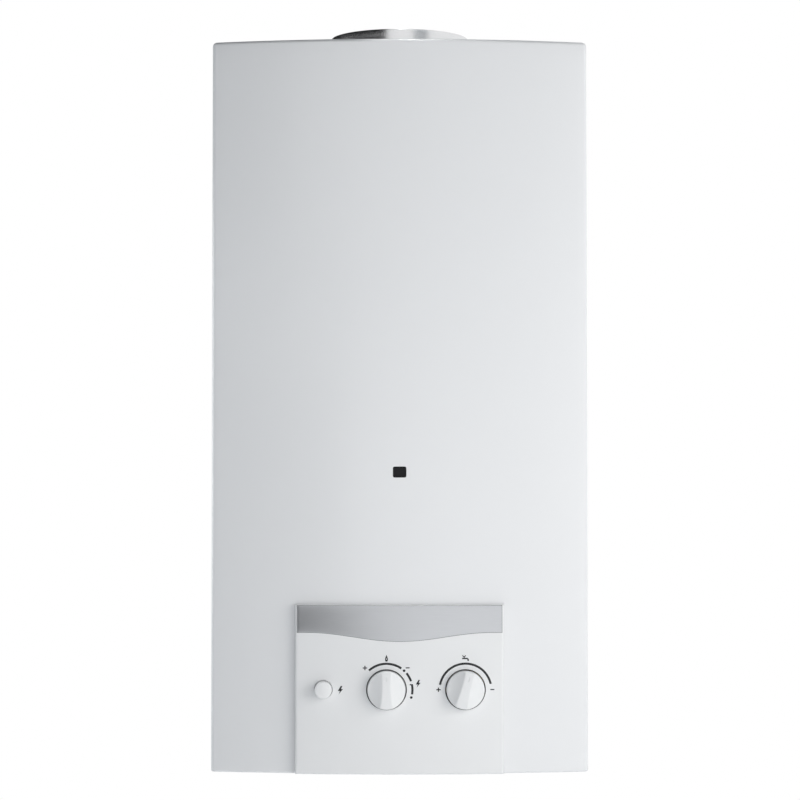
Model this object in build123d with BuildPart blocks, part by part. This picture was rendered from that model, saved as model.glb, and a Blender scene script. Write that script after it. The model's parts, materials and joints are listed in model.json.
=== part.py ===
from build123d import *

import os
from math import cos, pi, radians, sin, sqrt

# A wall-hung gas water heater, in millimetres. The wall is the plane Y = 0, the front looks
# towards -Y and +Z is up. The origin is the centre of the four wall screws. A depth is a
# distance in front of the wall, so a point at depth d has Y = -d.

# Enamelled sheet casing
casing_width = 350.0
casing_height = 680.0
casing_depth = 236.0
bow_rise = 23.0
casing_sheet = 1.0
casing_bend = 5.0
lip_width = 15.0
lip_bend = 2.0
wall_gap = 0.5
slide_gap = 0.4

# Clearances and overruns shared by all pieces
fit_gap = 0.1
seat_gap = 0.3
thread_gap = 0.1
overrun = 5.0

# Rear panel, a tray with a rim on four sides
chassis_sheet = 1.2
tray_depth = 24.0
tray_corner = 4.0
wall_hole_inset = 25.0
wall_hole_rise = 40.0
wall_hole_radius = 4.5
bead_inset = 50.0
bead_rise = 120.0
bead_width = 14.0
bead_height = 3.0

# Screws that hold the casing to the tray from below
casing_screw_inset = 9.0
casing_screw_depth = 13.0
casing_screw_radius = 2.0
casing_screw_length = 9.0
casing_screw_head_radius = 4.0
casing_screw_head = 2.6

# Sight hole in the casing and the pane behind it
sight_width = 12.4
sight_height = 10.2
sight_corner = 1.2
sight_lift = 277.3
pane_margin = 4.0
pane_thickness = 2.0
pane_seat_gap = 0.05

# Control fascia, a bowed moulding on the front of the casing
fascia_width = 192.0
fascia_height = 155.5
fascia_proud = 7.0
fascia_wall = 2.5
fascia_round = 1.2
fascia_opening_margin = 12.0
fascia_boss_radius = 4.0
fascia_boss_inset = 6.0
fascia_boss_rise = 14.0
fascia_screw_radius = 1.4
fascia_screw_length = 6.0
fascia_screw_head_radius = 2.8
fascia_screw_head = 1.8
knob_sleeve_wall = 2.0

# Bright trim strip let into the top of the fascia
trim_thickness = 1.0
trim_side_margin = 2.0
trim_top_margin = 1.6
trim_side_height = 24.0
trim_wave_drop = 8.0
trim_wave_half = 79.0
trim_corner = 1.5

# Places of the three controls
control_lift = 77.5
button_x = -70.0
gas_knob_x = -12.0
water_knob_x = 60.5

# Knobs
knob_radius = 17.5
knob_height = 16.0
knob_skirt = 4.0
knob_wall = 2.0
knob_gap = 1.0
knob_rim_round = 1.0
grip_half_width = 4.5
flank_drop = 8.0
flank_hollow_depth = 1.2
notch_length = 4.0
notch_width = 1.2
notch_depth = 0.8
notch_place = 11.0
hub_radius = 7.0
hub_socket_depth = 8.0
spindle_flat = 0.8
water_knob_turn = 15.0

# Gas spindle, push rod and their guides
gas_spindle_radius = 3.0
gas_spindle_entry = 14.0
gland_flats = 17.0
gland_length = 6.0
push_rod_radius = 2.5
push_stop_gap = 1.5
push_guide_start = 20.0
push_guide_length = 15.0
push_collar_radius = 6.0
push_collar_thickness = 2.0
push_collar_place = 31.7
push_travel = 4.5
push_spring_radius = 5.0
push_spring_wire = 0.5
push_spring_turns = 5

# Water spindle
water_spindle_radius = 4.0
water_spindle_entry = 24.0

# Piezo igniter and its button
button_radius = 8.0
button_proud = 12.0
button_round = 2.5
button_gap = 0.4
button_length = 40.0
piezo_guide_radius = 10.0
piezo_guide_gap = 0.2
piezo_guide_lead = 18.0
piezo_flange_radius = 13.0
piezo_flange_thickness = 3.0
piezo_body_radius = 9.0
piezo_body_length = 50.0
piezo_spring_length = 16.0
piezo_spring_radius = 6.2
piezo_spring_wire = 0.6
piezo_spring_turns = 6
piezo_nut_flats = 24.0
piezo_nut_length = 6.0
piezo_terminal_radius = 3.2
piezo_terminal = 6.0
piezo_bracket_sheet = 1.5
piezo_flange_lead = 4.6
piezo_bracket_margin = 12.0
piezo_bracket_leg = 80.0
piezo_bracket_drop = 3.0
piezo_bracket_height = 24.0

# Valve group: the interlock axis lies below the control axes
valve_depth = 150.0
interlock_drop = 26.0

# Gas valve
gas_valve_left = 31.0
gas_valve_right = 36.0
gas_valve_front = 35.0
gas_valve_back = 35.0
gas_valve_above = 30.0
gas_valve_below = 26.0
gas_valve_round = 4.0
gas_chamber_radius = 14.0
gas_seat_place = 18.0
gas_seat_radius = 6.0
magnet_bore_radius = 8.0
gas_outlet_place = 23.5
gas_outlet_bore = 4.5
gas_inlet_offset = -16.0
gas_boss_radius = 11.0
gas_boss_length = 11.0
pilot_port_offset = -13.0
pilot_port_forward = 15.0
pilot_port_depth = 6.0
gas_cap_radius = 22.0
gas_cap_thickness = 5.0
gas_cap_spigot = 19.0
cap_screw_circle_radius = 18.0
cap_screw_count = 4
cap_screw_turn = 45.0
cap_screw_radius = 1.5
cap_screw_length = 9.0
cap_screw_head_radius = 2.7
cap_screw_head_height = 2.2
gas_disc_radius = 11.0
gas_disc_thickness = 3.5
valve_spring_radius = 8.0
valve_spring_wire = 0.8
valve_spring_turns = 6

# Magnet unit on the back of the gas valve
magnet_radius = 10.0
magnet_length = 27.0
magnet_spigot = 9.0
magnet_nipple_radius = 4.0
magnet_nipple = 6.0
magnet_nipple_bore = 5.0

# Water valve
diaphragm_offset = -16.0
diaphragm_thickness = 1.5
water_flange_radius = 36.0
water_flange_thickness = 8.0
water_chamber_radius = 23.0
water_chamber_depth = 6.0
water_body_radius = 30.0
water_body_length = 40.0
water_cover_thickness = 14.0
cover_stop_gap = 0.7
water_screw_circle_radius = 31.0
water_screw_count = 6
water_screw_radius = 2.0
water_screw_head_radius = 3.5
water_screw_head_height = 3.0
water_port_offset = 12.0
water_port_bore = 6.0
water_cross_bore = 4.0
water_boss_radius = 11.0
water_rear_boss_length = 38.0
water_top_boss_height = 30.0
spindle_boss_radius = 10.0
spindle_boss_reach = 36.0

# Interlock between the water valve and the gas valve
interlock_rod_radius = 2.5
interlock_plate_radius = 18.0
interlock_plate_thickness = 3.0
interlock_travel = 4.0
sleeve_spigot_radius = 7.0
sleeve_gas_spigot = 7.0
sleeve_cover_spigot = 4.0
sleeve_flats = 20.0

# Pipes
pipe_radius = 7.5
pipe_bore = 6.5
pipe_bend = 16.0
socket_depth = 8.0
union_flats = 22.0
union_length = 9.0
coupling_wall = 2.5
coupling_length = 12.0

# Pipe connectors and the bracket that carries them
connector_depth = 60.0
connector_drop = 12.0
hot_connector_x = -115.0
thread_radius = 10.45
thread_length = 14.0
connector_flats = 27.0
connector_hex = 7.0
connector_neck_radius = 9.0
connector_nut = 6.0
connector_tail = 4.0
connector_bore = 6.0
connector_bracket_sheet = 2.0
connector_bracket_reach = 82.0
connector_bracket_margin = 27.0
connector_bracket_flange = 30.0

# Z-section brackets from the rear panel
bracket_sheet = 1.5
bracket_flange = 20.0
valve_bracket_half_width = 28.0
valve_bracket_drop = 17.0
chamber_bracket_width = 180.0
lower_bracket_lift = 15.0
upper_bracket_lift = 185.0

# Screws through the bracket flanges into the rear panel
frame_screw_radius = 2.0
frame_screw_head_radius = 3.8
frame_screw_head = 2.4
frame_screw_pitch = 120.0
valve_screw_pitch = 34.0
connector_screw_pitch = 130.0
panel_skin_gap = 0.3

# Combustion jacket
jacket_side_room = 45.0
jacket_depth = 160.0
jacket_back = 40.0
jacket_bottom_lift = 250.0
jacket_height = 215.0
jacket_wall = 1.0
jacket_corner = 14.0
jacket_rim = 9.0
jacket_rim_sheet = 1.2
peep_width = 22.0
peep_height = 18.0
mica_margin = 5.0
mica_thickness = 1.0

# Heat exchanger
tube_count = 5
tube_pitch = 30.0
tube_drop = 62.0
tube_stub = 10.0
tube_bend_clearance = 6.0
bend_slack = 0.05
fin_pitch = 9.0
fin_end_room = 12.7
fin_thickness = 0.6
fin_height = 72.0
fin_drop = 5.0
fin_side_gap = 0.5

# Burner
burner_frame_height = 42.0
burner_frame_wall = 1.2
burner_ledge_front = 25.0
burner_ledge_back = 15.0
bar_pitch = 20.0
bar_end_room = 20.0
bar_width = 12.0
bar_bearing = 6.0
bar_height = 32.0
bar_corner = 3.0
bar_sheet = 1.0
bar_slot_count = 12
bar_slot_width = 1.4
bar_slot_length = 8.0
bar_slot_depth = 6.0
bar_slot_pitch = 9.0
venturi_radius = 6.5
venturi_bore = 5.0
venturi_drop = 13.0
venturi_lead = 2.0
venturi_rear_gap = 10.0
throat_length = 40.0
throat_width = 8.0

# Gas rail, riser and injectors
rail_radius = 9.0
rail_bore = 7.0
rail_end_room = 5.0
rail_cap = 3.0
rail_forward = 23.0
injector_shank_radius = 2.9
injector_radius = 4.5
injector_length = 6.0
injector_tip_radius = 2.2
injector_tip = 3.0
injector_bore = 0.7
riser_radius = 6.5
riser_bore = 5.5
riser_run = 46.0
riser_bend = 14.0
rail_boss_radius = 9.0
rail_boss_drop = 8.0

# Pilot, thermocouple and ignition electrode on the front ledge
lead_room = 20.0
pilot_forward = 10.0
pilot_stem_radius = 3.4
pilot_stem_drop = 9.0
pilot_flange_radius = 6.0
pilot_flange_thickness = 2.0
pilot_body_radius = 4.0
pilot_body_height = 28.0
pilot_hood_radius = 5.5
pilot_hood_height = 8.0
pilot_tube_radius = 2.0
pilot_socket = 6.0
probe_radius = 2.0
probe_height = 42.0
probe_collar_radius = 4.0
probe_collar = 3.0
capillary_radius = 1.4
ceramic_radius = 3.0
ceramic_drop = 22.0
ceramic_height = 24.0
ceramic_collar_radius = 4.8
ceramic_collar = 3.0
spark_wire_radius = 0.9
spark_wire_rise = 16.0
spark_wire_reach = 11.0
spark_wire_bend = 4.0
ignition_lead_radius = 2.5
lead_entry = 4.0

# Flue hood and collar
hood_sheet = 1.0
hood_flange_sheet = 1.2
hood_height = 160.0
hood_top_width = 148.0
relief_width = 180.0
relief_height = 34.0
relief_lift = 14.0
flue_depth = 98.0
flue_radius = 65.5
flue_wall = 1.0
flue_stop_width = 2.5
flue_flange_radius = 72.0
flue_length = 76.0
flue_bead = 0.8
flue_bead_height = 3.0
hood_screw_radius = 1.8
hood_screw_head_radius = 3.4
hood_screw_head = 2.2
hood_screw_inset = 20.0

# Sensors
sensor_lift = 500.0
sensor_plate_width = 40.0
sensor_plate_height = 18.0
sensor_plate_thickness = 1.2
sensor_radius = 8.0
sensor_length = 12.0
sensor_blade_width = 6.3
sensor_blade_height = 0.8
sensor_blade_length = 8.0
sensor_blade_pitch = 8.0
limiter_lift = 330.0
limiter_height = 14.0
limiter_wall = 1.2
limiter_disc_radius = 5.5
limiter_disc_length = 7.0

# Pipe routes
coil_gap = 0.3
coil_start_lift = 140.0
coil_turn_lift = 165.0
coil_wrap_lift = 298.0
coil_climb = 13.0
coil_side_room = 30.0
coil_bend = 20.0
coil_inlet_bend = 13.0
hot_drop_lift = 105.0
hot_foot_lift = 65.0

# Levels and places worked out from the sizes above
floor_z = -casing_height / 2
control_z = floor_z + control_lift
interlock_z = control_z - interlock_drop
sight_z = floor_z + sight_lift
fascia_top = floor_z + fascia_height
tray_width = casing_width - 2 * casing_sheet - 2 * slide_gap
tray_height = casing_height - 2 * casing_sheet - 2 * slide_gap
casing_screw_x = casing_width / 2 - casing_screw_inset
wall_pitch_x = casing_width - 2 * wall_hole_inset
wall_pitch_z = casing_height - 2 * wall_hole_rise
bead_pitch = casing_width - 2 * bead_inset
bead_length = casing_height - 2 * bead_rise
bow_radius = ((casing_width / 2) ** 2 + bow_rise**2) / (2 * bow_rise)

gas_front = valve_depth + gas_valve_front
gas_back = valve_depth - gas_valve_back
gas_left_x = gas_knob_x - gas_valve_left
gas_right_x = gas_knob_x + gas_valve_right
gas_top = control_z + gas_valve_above
gas_bottom = interlock_z - gas_valve_below
gas_seat_x = gas_knob_x + gas_seat_place
gas_inlet_x = gas_knob_x + gas_inlet_offset
riser_x = gas_knob_x + gas_outlet_place
gas_boss_back = gas_back - gas_boss_length

diaphragm_x = water_knob_x + diaphragm_offset
diaphragm_left = diaphragm_x - diaphragm_thickness / 2
diaphragm_right = diaphragm_x + diaphragm_thickness / 2
cover_left = diaphragm_left - water_cover_thickness
cover_chamber = seat_gap + interlock_plate_thickness + interlock_travel + cover_stop_gap
water_port_x = water_knob_x + water_port_offset
water_boss_back = valve_depth - water_rear_boss_length
water_top = control_z + water_top_boss_height
spindle_boss_front = valve_depth + spindle_boss_reach

connector_bottom = floor_z - connector_drop
connector_plate_z = connector_bottom + thread_length + connector_hex
connector_nut_z = connector_plate_z + connector_bracket_sheet
connector_top = connector_nut_z + connector_nut + connector_tail
connector_places = [water_port_x, gas_inlet_x, hot_connector_x]

jacket_width = casing_width - 2 * jacket_side_room
jacket_front = jacket_back + jacket_depth
jacket_middle = jacket_back + jacket_depth / 2
jacket_bottom = floor_z + jacket_bottom_lift
jacket_top = jacket_bottom + jacket_height
tube_z = jacket_top - tube_drop
tube_depths = [jacket_middle + (row - (tube_count - 1) / 2) * tube_pitch for row in range(tube_count)]
tube_bend_x = jacket_width / 2 + tube_bend_clearance + tube_pitch / 2
tube_end_x = jacket_width / 2 + tube_stub
fin_count = round((jacket_width - 2 * fin_end_room - fin_thickness) / fin_pitch) + 1

burner_bottom = jacket_bottom - burner_frame_height
ledge_top = burner_bottom + burner_frame_wall
bar_back = jacket_back + burner_ledge_back - bar_bearing
bar_front = jacket_front - burner_ledge_front + bar_bearing
bar_length = bar_front - bar_back
bar_count = round((jacket_width - 2 * bar_end_room) / bar_pitch) + 1
bar_xs = [(bar - (bar_count - 1) / 2) * bar_pitch for bar in range(bar_count)]
rail_length = jacket_width - 2 * rail_end_room
pilot_x = bar_xs[bar_count // 2 - 1] + bar_pitch / 2
probe_x = pilot_x + bar_pitch
spark_x = pilot_x - bar_pitch
venturi_z = ledge_top - venturi_drop
rail_depth = bar_front + venturi_lead + rail_forward
rail_back = rail_depth - rail_radius
pilot_depth = bar_front + pilot_forward

hood_bottom = jacket_top
hood_top = hood_bottom + hood_height
flue_top = hood_top + flue_length


def at(x, depth, z):
    """A point at a distance in front of the wall."""
    return (x, -depth, z)


def front_plane(depth):
    """A plane parallel to the wall that faces the room, with local axes X and Z."""
    return Plane.XZ.offset(depth)


def side_plane(x):
    """A plane that faces +X, with local axes Y and Z."""
    return Plane.YZ.offset(x)


def level_plane(z):
    """A level plane that faces up, with local axes X and Y."""
    return Plane.XY.offset(z)


def bow_depth(x, stand_off):
    """Depth of a face that stands off the bowed front of the casing."""
    return casing_depth - bow_radius + sqrt((bow_radius + stand_off) ** 2 - x**2)


def bowed_plan(z, half_width, stand_off, back_depth, corner):
    """Plan of a box with straight sides and a bowed front with rounded corners."""
    side = -bow_depth(half_width, stand_off)
    with BuildSketch(level_plane(z)) as plan:
        with BuildLine():
            Polyline(
                (-half_width, side),
                (-half_width, -back_depth),
                (half_width, -back_depth),
                (half_width, side),
            )
            ThreePointArc((-half_width, side), (0, -bow_depth(0, stand_off)), (half_width, side))
        make_face()
        if corner > 0:
            fillet(plan.vertices().group_by(Axis.Y)[0], corner)
    return plan.sketch


def bow_band(z, half_width, inner, outer):
    """Plan of a strip between two stand-offs from the bowed front."""
    inner_side = -bow_depth(half_width, inner)
    outer_side = -bow_depth(half_width, outer)
    with BuildSketch(level_plane(z)) as plan:
        with BuildLine():
            ThreePointArc(
                (-half_width, outer_side), (0, -bow_depth(0, outer)), (half_width, outer_side)
            )
            Line((half_width, outer_side), (half_width, inner_side))
            ThreePointArc(
                (half_width, inner_side), (0, -bow_depth(0, inner)), (-half_width, inner_side)
            )
            Line((-half_width, inner_side), (-half_width, outer_side))
        make_face()
    return plan.sketch


def bars(plane, places, length, radius, mode=Mode.ADD):
    """Round bars of one length that stand on a plane, put into the part being made."""
    with BuildSketch(plane) as section:
        with Locations(*places):
            Circle(radius)
    extrude(section.sketch, amount=length, mode=mode)


def hexes(plane, places, length, flats, mode=Mode.ADD):
    """Hexagonal bars of one length that stand on a plane, put into the part being made."""
    with BuildSketch(plane) as section:
        with Locations(*places):
            RegularPolygon(flats / 2, 6, major_radius=False)
    extrude(section.sketch, amount=length, mode=mode)


def block(plane, place, width, height, length, mode=Mode.ADD, corner=0):
    """A rectangular bar that stands on a plane, centred on a place, put into the part being made."""
    with BuildSketch(plane) as section:
        with Locations(place):
            if corner > 0:
                RectangleRounded(width, height, corner)
            else:
                Rectangle(width, height)
    extrude(section.sketch, amount=length, mode=mode)


def tube(points, bends, outer, bore):
    """A pipe or lead along straight runs joined by tangent arcs."""
    with BuildPart() as run:
        with BuildLine() as route:
            FilletPolyline(*points, radius=bends)
        with BuildSketch(Plane(route.line @ 0, z_dir=route.line % 0)):
            Circle(outer)
            if bore > 0:
                Circle(bore, mode=Mode.SUBTRACT)
        sweep()
    return run.part


def spring(base, radius, wire, turns, length):
    """A coil spring between two flat seats, wound from quarter-turn arcs."""
    quarters = 4 * turns
    rise = (length - 2 * wire) / quarters

    def point(quarter):
        angle = quarter * pi / 2
        return base.from_local_coords((radius * cos(angle), radius * sin(angle), wire + quarter * rise))

    with BuildPart() as coil:
        with BuildLine() as wind:
            for quarter in range(quarters):
                ThreePointArc(point(quarter), point(quarter + 1 / 2), point(quarter + 1))
        with BuildSketch(Plane(wind.line @ 0, z_dir=wind.line % 0)):
            Circle(wire)
        sweep()
    return coil.part


def fascia_face(x):
    """Depth of the fascia's front at x."""
    return bow_depth(x, fascia_proud)


# Rear panel
bracket_levels = (jacket_bottom + lower_bracket_lift, jacket_bottom + upper_bracket_lift)
chamber_screw_places = [
    (side * frame_screw_pitch / 2, bracket_z - bracket_flange / 2)
    for bracket_z in bracket_levels
    for side in (-1, 1)
]
valve_bracket_z = gas_top - bracket_sheet
valve_screw_places = [
    (gas_knob_x + side * valve_screw_pitch / 2, valve_bracket_z + bracket_flange / 2) for side in (-1, 1)
]
connector_bracket_x = (water_port_x + hot_connector_x) / 2
connector_screw_places = [
    (connector_bracket_x + side * connector_screw_pitch / 2, connector_nut_z + connector_bracket_flange / 2)
    for side in (-1, 1)
]
frame_screw_places = chamber_screw_places + valve_screw_places + connector_screw_places

with BuildPart() as rear_panel:
    with BuildSketch(front_plane(0)):
        RectangleRounded(tray_width, tray_height, tray_corner)
    extrude(amount=tray_depth)
    with BuildSketch(front_plane(chassis_sheet)):
        RectangleRounded(
            tray_width - 2 * chassis_sheet, tray_height - 2 * chassis_sheet, tray_corner - chassis_sheet
        )
    extrude(amount=tray_depth, mode=Mode.SUBTRACT)
    with BuildSketch(front_plane(0)):
        with GridLocations(bead_pitch, 0, 2, 1):
            SlotOverall(bead_length, bead_width, rotation=90)
    extrude(amount=bead_height + chassis_sheet)
    with BuildSketch(front_plane(0)):
        with GridLocations(bead_pitch, 0, 2, 1):
            SlotOverall(bead_length - 2 * chassis_sheet, bead_width - 2 * chassis_sheet, rotation=90)
    extrude(amount=bead_height, mode=Mode.SUBTRACT)
    with BuildSketch(front_plane(0)):
        with GridLocations(wall_pitch_x, wall_pitch_z, 2, 2):
            Circle(wall_hole_radius)
    extrude(amount=chassis_sheet, mode=Mode.SUBTRACT)
    bars(front_plane(0), frame_screw_places, chassis_sheet, frame_screw_radius + thread_gap, Mode.SUBTRACT)
    bars(
        level_plane(-tray_height / 2),
        [(-casing_screw_x, -casing_screw_depth), (casing_screw_x, -casing_screw_depth)],
        chassis_sheet,
        casing_screw_radius + thread_gap,
        Mode.SUBTRACT,
    )

with BuildPart() as casing_screws:
    screw_places = [(side * casing_screw_x, -casing_screw_depth) for side in (-1, 1)]
    bars(
        level_plane(floor_z - seat_gap - casing_screw_head),
        screw_places,
        casing_screw_head,
        casing_screw_head_radius,
    )
    bars(level_plane(floor_z - seat_gap), screw_places, casing_screw_length, casing_screw_radius)

# Front casing, a one-piece wrapper that slides forward off the tray
fascia_screw_places = [
    (side * (fascia_width / 2 - fascia_boss_inset), z)
    for side in (-1, 1)
    for z in (floor_z + fascia_boss_rise, fascia_top - fascia_boss_rise)
]

with BuildPart() as front_casing:
    extrude(bowed_plan(floor_z, casing_width / 2, 0, wall_gap, casing_bend), amount=casing_height)
    rims = front_casing.faces().filter_by(Axis.Z).edges()
    fillet([edge for edge in rims if edge.center().Y < -wall_gap - lip_bend], lip_bend)
    extrude(
        bowed_plan(
            floor_z + casing_sheet,
            casing_width / 2 - casing_sheet,
            -casing_sheet,
            -overrun,
            casing_bend - casing_sheet,
        ),
        amount=casing_height - 2 * casing_sheet,
        mode=Mode.SUBTRACT,
    )
    extrude(
        bowed_plan(floor_z - overrun, casing_width / 2 - lip_width, -lip_width, -overrun, casing_bend),
        amount=casing_height + 2 * overrun,
        mode=Mode.SUBTRACT,
    )
    inside_depth = casing_depth - bow_rise - lip_width
    with BuildSketch(front_plane(inside_depth)):
        with Locations((0, floor_z + fascia_height / 2)):
            Rectangle(fascia_width - 2 * fascia_opening_margin, fascia_height - 2 * fascia_opening_margin)
        with Locations((0, sight_z)):
            RectangleRounded(sight_width, sight_height, sight_corner)
        with Locations(*fascia_screw_places):
            Circle(fascia_screw_radius + fit_gap)
    extrude(amount=casing_depth - inside_depth + overrun, mode=Mode.SUBTRACT)
    slot_radius = casing_screw_radius + slide_gap
    with BuildSketch(level_plane(floor_z - overrun)):
        for side in (-1, 1):
            with Locations((side * casing_screw_x, -casing_screw_depth)):
                Circle(slot_radius)
            with Locations((side * casing_screw_x, -casing_screw_depth / 2)):
                Rectangle(2 * slot_radius, casing_screw_depth)
    extrude(amount=overrun + casing_sheet, mode=Mode.SUBTRACT)

with BuildPart() as sight_glass:
    pane_width = sight_width + 2 * pane_margin
    pane_front = bow_depth(pane_width / 2, -casing_sheet) - pane_seat_gap
    block(
        front_plane(pane_front - pane_thickness),
        (0, sight_z),
        pane_width,
        sight_height + 2 * pane_margin,
        pane_thickness,
    )

# Trim strip, with a lower edge that swells downwards in the middle
with BuildPart() as trim_strip:
    trim_half = fascia_width / 2 - trim_side_margin
    trim_top = fascia_top - trim_top_margin
    trim_side_z = trim_top - trim_side_height
    with BuildSketch(front_plane(casing_depth - bow_rise)) as trim_outline:
        with BuildLine():
            Line((-trim_half, trim_side_z), (-trim_wave_half, trim_side_z))
            Spline(
                (-trim_wave_half, trim_side_z),
                (0, trim_side_z - trim_wave_drop),
                (trim_wave_half, trim_side_z),
                tangents=((1, 0), (1, 0)),
            )
            Polyline(
                (trim_wave_half, trim_side_z),
                (trim_half, trim_side_z),
                (trim_half, trim_top),
                (-trim_half, trim_top),
                (-trim_half, trim_side_z),
            )
        make_face()
        fillet(trim_outline.vertices().group_by(Axis.Y)[-1], trim_corner)
    extrude(amount=bow_rise + fascia_proud + overrun)
    extrude(
        bow_band(floor_z, fascia_width / 2, fascia_proud - trim_thickness, fascia_proud),
        amount=fascia_height,
        mode=Mode.INTERSECT,
    )

# Fascia, hollow behind, with sleeves round the controls and screw bosses in its corners
with BuildPart() as fascia_hollow:
    extrude(
        bow_band(
            floor_z + fascia_wall, fascia_width / 2 - fascia_wall, -overrun, fascia_proud - fascia_wall
        ),
        amount=fascia_height - 2 * fascia_wall,
    )
    sleeve_depth = casing_depth - bow_rise
    sleeve_length = bow_rise + fascia_proud + overrun
    bars(
        front_plane(sleeve_depth),
        [(gas_knob_x, control_z), (water_knob_x, control_z)],
        sleeve_length,
        knob_radius + knob_gap + knob_sleeve_wall,
        Mode.SUBTRACT,
    )
    bars(
        front_plane(sleeve_depth),
        [(button_x, control_z)],
        sleeve_length,
        button_radius + button_gap + knob_sleeve_wall,
        Mode.SUBTRACT,
    )
    bars(front_plane(sleeve_depth), fascia_screw_places, sleeve_length, fascia_boss_radius, Mode.SUBTRACT)

with BuildPart() as control_fascia:
    extrude(bow_band(floor_z, fascia_width / 2, 0, fascia_proud), amount=fascia_height)
    fillet(control_fascia.faces().sort_by(Axis.Y)[0].edges(), fascia_round)
    add(fascia_hollow.part, mode=Mode.SUBTRACT)
    add(trim_strip.part, mode=Mode.SUBTRACT)
    bars(
        front_plane(sleeve_depth),
        [(gas_knob_x, control_z), (water_knob_x, control_z)],
        sleeve_length,
        knob_radius + knob_gap,
        Mode.SUBTRACT,
    )
    bars(
        front_plane(sleeve_depth),
        [(button_x, control_z)],
        sleeve_length,
        button_radius + button_gap,
        Mode.SUBTRACT,
    )
    for screw_x, screw_z in fascia_screw_places:
        screw_end = bow_depth(screw_x, 0) + fascia_screw_length - casing_sheet
        bars(
            front_plane(sleeve_depth),
            [(screw_x, screw_z)],
            screw_end + fit_gap - sleeve_depth,
            fascia_screw_radius + fit_gap,
            Mode.SUBTRACT,
        )

with BuildPart() as fascia_screws:
    for screw_x, screw_z in fascia_screw_places:
        head_seat = bow_depth(abs(screw_x) + fascia_screw_head_radius, -casing_sheet) - pane_seat_gap
        shank_end = bow_depth(screw_x, 0) + fascia_screw_length - casing_sheet
        bars(
            front_plane(head_seat - fascia_screw_head),
            [(screw_x, screw_z)],
            fascia_screw_head,
            fascia_screw_head_radius,
        )
        bars(front_plane(head_seat), [(screw_x, screw_z)], shank_end - head_seat, fascia_screw_radius)


def knob(x, turn, spindle_radius):
    """A round knob with a raised grip bar, its pointer turned clockwise by an angle in radians."""
    base = Plane(
        origin=at(x, fascia_face(x), control_z), x_dir=(cos(turn), 0, -sin(turn)), z_dir=(0, -1, 0)
    )
    across = Plane(origin=base.origin, x_dir=base.x_dir, z_dir=-base.y_dir)
    rim_height = knob_height - flank_drop
    slope = sqrt((knob_radius - grip_half_width) ** 2 + flank_drop**2)
    flank_middle = (
        (grip_half_width + knob_radius) / 2 - flank_hollow_depth * flank_drop / slope,
        (knob_height + rim_height) / 2 - flank_hollow_depth * (knob_radius - grip_half_width) / slope,
    )
    with BuildPart() as body:
        bars(base.offset(-knob_skirt), [(0, 0)], knob_skirt + knob_height, knob_radius)
        with BuildSketch(across):
            with BuildLine():
                ThreePointArc((grip_half_width, knob_height), flank_middle, (knob_radius, rim_height))
                Polyline(
                    (knob_radius, rim_height),
                    (knob_radius + overrun, rim_height),
                    (knob_radius + overrun, knob_height + overrun),
                    (grip_half_width, knob_height + overrun),
                    (grip_half_width, knob_height),
                )
            make_face()
            mirror(about=Plane.YZ)
        extrude(amount=knob_radius + overrun, both=True, mode=Mode.SUBTRACT)
        skirt = body.faces().filter_by(GeomType.CYLINDER).sort_by(SortBy.AREA)[-1]
        rim = [edge for edge in skirt.edges() if base.to_local_coords(edge.center()).Z > 0]
        rim = [edge for edge in rim if edge.geom_type != GeomType.LINE]
        fillet(rim, knob_rim_round)
        with BuildSketch(base.offset(knob_height - notch_depth)):
            with Locations((0, notch_place)):
                SlotOverall(notch_length, notch_width, rotation=90)
        extrude(amount=overrun, mode=Mode.SUBTRACT)
        with BuildSketch(base.offset(-knob_skirt)):
            Circle(knob_radius - knob_wall)
            Circle(hub_radius, mode=Mode.SUBTRACT)
        extrude(amount=knob_skirt + rim_height - knob_wall - flank_hollow_depth, mode=Mode.SUBTRACT)
        with BuildSketch(base.offset(-knob_skirt)):
            Circle(spindle_radius + fit_gap)
            with Locations((0, spindle_radius + fit_gap)):
                Rectangle(2 * hub_radius, 2 * spindle_flat, mode=Mode.SUBTRACT)
        extrude(amount=knob_skirt + hub_socket_depth, mode=Mode.SUBTRACT)
    return body.part


def spindle(x, turn, radius, inner_depth):
    """A control spindle with a flat on the end that carries the knob."""
    outer_depth = fascia_face(x) + hub_socket_depth - seat_gap
    base = Plane(
        origin=at(x, fascia_face(x) - knob_skirt, control_z),
        x_dir=(cos(turn), 0, -sin(turn)),
        z_dir=(0, -1, 0),
    )
    with BuildPart() as shaft:
        bars(front_plane(inner_depth), [(x, control_z)], outer_depth - inner_depth, radius)
        block(base, (0, radius), 2 * radius, 2 * spindle_flat, knob_skirt + hub_socket_depth, Mode.SUBTRACT)
    return shaft.part


# Knobs and spindles
with BuildPart() as gas_knob:
    add(knob(gas_knob_x, 0, gas_spindle_radius))

with BuildPart() as water_knob:
    add(knob(water_knob_x, radians(water_knob_turn), water_spindle_radius))

gas_spindle_end = gas_front - gas_spindle_entry
with BuildPart() as gas_spindle:
    add(spindle(gas_knob_x, 0, gas_spindle_radius, gas_spindle_end))

water_spindle_end = spindle_boss_front - water_spindle_entry
with BuildPart() as water_spindle:
    add(spindle(water_knob_x, radians(water_knob_turn), water_spindle_radius, water_spindle_end))

with BuildPart() as spindle_glands:
    hexes(front_plane(gas_front), [(gas_knob_x, control_z)], gland_length, gland_flats)
    hexes(front_plane(spindle_boss_front), [(water_knob_x, control_z)], gland_length, gland_flats)
    bars(
        front_plane(gas_front),
        [(gas_knob_x, control_z)],
        gland_length,
        gas_spindle_radius + fit_gap,
        Mode.SUBTRACT,
    )
    bars(
        front_plane(spindle_boss_front),
        [(water_knob_x, control_z)],
        gland_length,
        water_spindle_radius + fit_gap,
        Mode.SUBTRACT,
    )

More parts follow.
